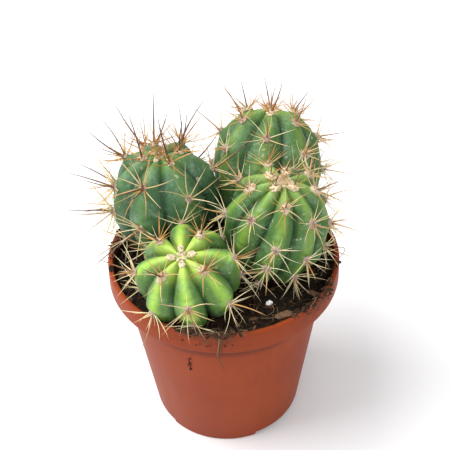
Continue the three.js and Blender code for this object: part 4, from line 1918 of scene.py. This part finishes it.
def make_plants() -> list[Plant]:
    """The four plants with their sizes, leans, ribs, spines and skins.

    Sizes and arcs are in millimetres, leans and turns in degrees, and the rest are shares.

    Returns:
        The front, left, right and back plant.
    """
    # Each skin's crest colour holds a painted highlight and its groove colour painted shade.
    front = Plant(
        name="cactus_front", seed=11, x=-15.0, y=-25.3, height=39.6, radius=25.0,
        lean_x=-7.0, lean_y=-16.5, stem=0.55, ribs=8, phase=1.5,
        depth=4.6, sharp=2.6, swell=1.3, dimple=1.8, first_even=26.5, first_odd=13.8, pitch=22.0,
        central=20.0, radial=17.0, tuft=1.0, young=0.7, buds=(4.5, 1.7, 0),
        slot="front_skin", tone=(0.15, 0.75), wool=1.25, worn=0.1,
        skin_finish=SkinFinish(
            name="skin_front", crest=(0.29, 0.51, 0.065), flank=(0.085, 0.18, 0.035),
            groove=(0.02, 0.066, 0.02), young=(0.46, 0.62, 0.10),
        ),
    )
    left = Plant(
        name="cactus_left", seed=23, x=-28.2, y=18.3, height=56.9, radius=27.5,
        lean_x=-1.8, lean_y=0.5, stem=0.5, ribs=7, phase=0.5, bunch=11.5, bunch_at=160.0,
        depth=3.5, sharp=1.6, swell=0.9, dimple=1.6, first_even=9.5, first_odd=22.5, pitch=20.5,
        central=30.0, radial=24.0, tuft=1.05, young=0.9, buds=(1.6, 4.2, 3),
        slot="left_skin", tone=(0.3, 1.25), wool=1.2, worn=0.25,
        skin_finish=SkinFinish(
            name="skin_left", crest=(0.085, 0.18, 0.055), flank=(0.042, 0.11, 0.042),
            groove=(0.016, 0.052, 0.024), young=(0.15, 0.28, 0.08),
        ),
    )
    right = Plant(
        name="cactus_right", seed=37, x=24.0, y=-3.5, height=58.5, radius=25.7,
        lean_x=5.5, lean_y=-4.5, stem=0.36, ribs=9, phase=7.5, twist=27.0,
        depth=3.5, sharp=2.0, swell=0.9, dimple=1.2, first_even=16.5, first_odd=6.4, pitch=19.7,
        central=18.0, radial=16.0, tuft=0.9, young=0.5, buds=(2.6, 1.3, 1),
        slot="right_skin", tone=(0.15, 0.7), wool=1.4, worn=0.0,
        skin_finish=SkinFinish(
            name="skin_right", crest=(0.16, 0.285, 0.038), flank=(0.058, 0.14, 0.03),
            groove=(0.02, 0.058, 0.019), young=(0.25, 0.40, 0.08),
        ),
    )
    back = Plant(
        name="cactus_back", seed=53, x=22.0, y=23.8, lift=3.0, height=63.6, radius=28.6,
        lean_x=4.5, lean_y=27.0, stem=0.38, ribs=8, phase=21.0, twist=20.0,
        depth=3.3, sharp=1.8, swell=0.9, dimple=1.4, first_even=20.0, first_odd=12.0, pitch=17.5,
        central=21.0, radial=16.0, tuft=1.0, young=0.8, buds=(4.2, 1.8, 4),
        slot="back_skin", tone=(0.25, 0.7), wool=1.3, worn=0.05,
        skin_finish=SkinFinish(
            name="skin_back", crest=(0.12, 0.215, 0.036), flank=(0.052, 0.125, 0.031),
            groove=(0.019, 0.06, 0.022), young=(0.20, 0.34, 0.07),
        ),
    )
    return [front, left, right, back]


def make_bits(shop: Workshop, soil: Soil) -> None:
    """The perlite grain, the bark chips and the pebble.

    Args:
        shop: makes the pieces and holds the small shapes.
        soil: the soil that they lie in.
    """
    browns = ((0.0, (0.05, 0.028, 0.016)), (0.5, (0.17, 0.095, 0.055)), (1.0, (0.36, 0.24, 0.15)))
    finishes = {
        "bark": CrumbFinish("bark", browns, grain=1100.0, relief=0.0005),
        "perlite": StoneFinish("perlite", (0.72, 0.70, 0.66), (0.95, 0.94, 0.92), 1400.0, 0.0003),
        "grit": StoneFinish("grit", (0.20, 0.215, 0.235), (0.38, 0.40, 0.43), 900.0, 0.0002),
    }
    bits = (
        Bit("perlite_grain", 22.0, -34.0, (3.4, 2.6, 2.2), 25.0, "perlite"),
        Bit("bark_chip_front", 28.5, -44.0, (9.0, 4.4, 1.8), 20.0, "bark"),
        Bit("bark_chip_right", 44.5, -27.0, (7.5, 3.6, 1.7), -35.0, "bark"),
        Bit("bark_chip_left", -52.4, -9.5, (5.6, 3.2, 1.6), 70.0, "bark"),
        Bit("grit_pebble", 0.6, 10.5, (5.0, 3.8, 3.0), 10.0, "grit"),
    )
    for bit in bits:
        bit.build(shop, soil, finishes[bit.slot])


# Studio


@dataclass(frozen=True)
class Studio:
    """Camera, floor and soft light."""

    aim: tuple[float, float, float] = (1.21, 0.0, 122.2)
    distance: float = 456.81
    pitch: float = math.radians(40.01)
    roll: float = math.radians(1.72)
    lens: float = 72.0
    floor_tone: tuple[float, float, float] = (0.82, 0.82, 0.83)
    sky: float = 0.76
    key_power: float = 21.0
    key_size: float = 1.0
    key_at: tuple[float, float, float] = (-0.66, 0.02, 1.1)
    fill_power: float = 6.0
    fill_size: float = 1.2
    fill_at: tuple[float, float, float] = (0.2, -1.1, 0.9)
    lit_at: tuple[float, float, float] = (0.0, 0.0, 0.08)
    floor_size: float = 2.5
    floor_bends_at: float = 1.4
    floor_bend: float = 1.1

    def build(self) -> None:
        """Sets up the camera, the floor and the lights."""
        bpy.context.scene.view_settings.view_transform = "Standard"
        self._camera()
        self._floor()
        self._light("key_light", self.key_power, self.key_size, self.key_at)
        self._light("fill_light", self.fill_power, self.fill_size, self.fill_at)
        world = bpy.data.worlds.new("studio_air")
        world.use_nodes = True
        air = world.node_tree.nodes["Background"]
        air.inputs["Color"].default_value = (1.0, 1.0, 1.0, 1.0)
        air.inputs["Strength"].default_value = self.sky
        bpy.context.scene.world = world

    def _camera(self) -> None:
        """The camera at the viewing angle, rolled slightly."""
        forward = Vector((0.0, math.cos(self.pitch), -math.sin(self.pitch)))
        right, up = Vector((1.0, 0.0, 0.0)), Vector((0.0, math.sin(self.pitch), math.cos(self.pitch)))
        rolled_right = right * math.cos(self.roll) - up * math.sin(self.roll)
        rolled_up = right * math.sin(self.roll) + up * math.cos(self.roll)
        camera = add_object("camera", bpy.data.cameras.new("camera"))
        camera.data.lens, camera.data.sensor_width, camera.data.clip_start = self.lens, 36.0, 0.01
        camera.matrix_world = Matrix((rolled_right, rolled_up, -forward)).transposed().to_4x4()
        camera.matrix_world.translation = (Vector(self.aim) - forward * self.distance) * MM
        bpy.context.scene.camera = camera

    def _floor(self) -> None:
        """A wide pale floor that curves up far behind the object."""
        bm = bmesh.new()
        bmesh.ops.create_grid(bm, x_segments=4, y_segments=40, size=self.floor_size)
        for vert in bm.verts:
            vert.co.z = self.floor_bend * max(0.0, vert.co.y - self.floor_bends_at) ** 2
        mesh = to_mesh("floor", bm)
        mesh.shade_smooth()
        g = Graph("floor_paper")
        tone = g.mix(g.noise(6.0, 2.0) * 0.05, self.floor_tone, (0.8, 0.8, 0.8))
        mesh.materials.append(g.finish(tone, 0.85, Specular_IOR_Level=0.2))
        add_object("floor", mesh)

    def _light(self, name: str, power: float, size: float, at: tuple[float, float, float]) -> None:
        """A square soft box that faces the object.

        Args:
            name: the light's name.
            power: its power, in watts.
            size: its side, in metres.
            at: its place, in metres.
        """
        light = bpy.data.lights.new(name, "AREA")
        light.energy, light.size = power, size
        box = add_object(name, light)
        box.location = at
        box.rotation_euler = (Vector(self.lit_at) - Vector(at)).to_track_quat("-Z", "Y").to_euler()


def main() -> None:
    """Builds the studio and every piece."""
    logging.basicConfig(level=logging.INFO, format="%(name)s %(message)s")
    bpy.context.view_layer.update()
    Studio().build()
    shop = Workshop()
    pot = Pot()
    soil = Soil(pot)
    plants = make_plants()
    soil.holes = plants
    Crowd(plants, soil, pot).settle()
    pot.build(shop)
    soil.build(shop)
    Litter(soil).build(shop)
    make_bits(shop, soil)
    horn, wool = SpineFinish().material(), WoolFinish().material()
    for plant in plants:
        plant.build(shop, horn, wool)


if __name__ == "__main__":
    main()
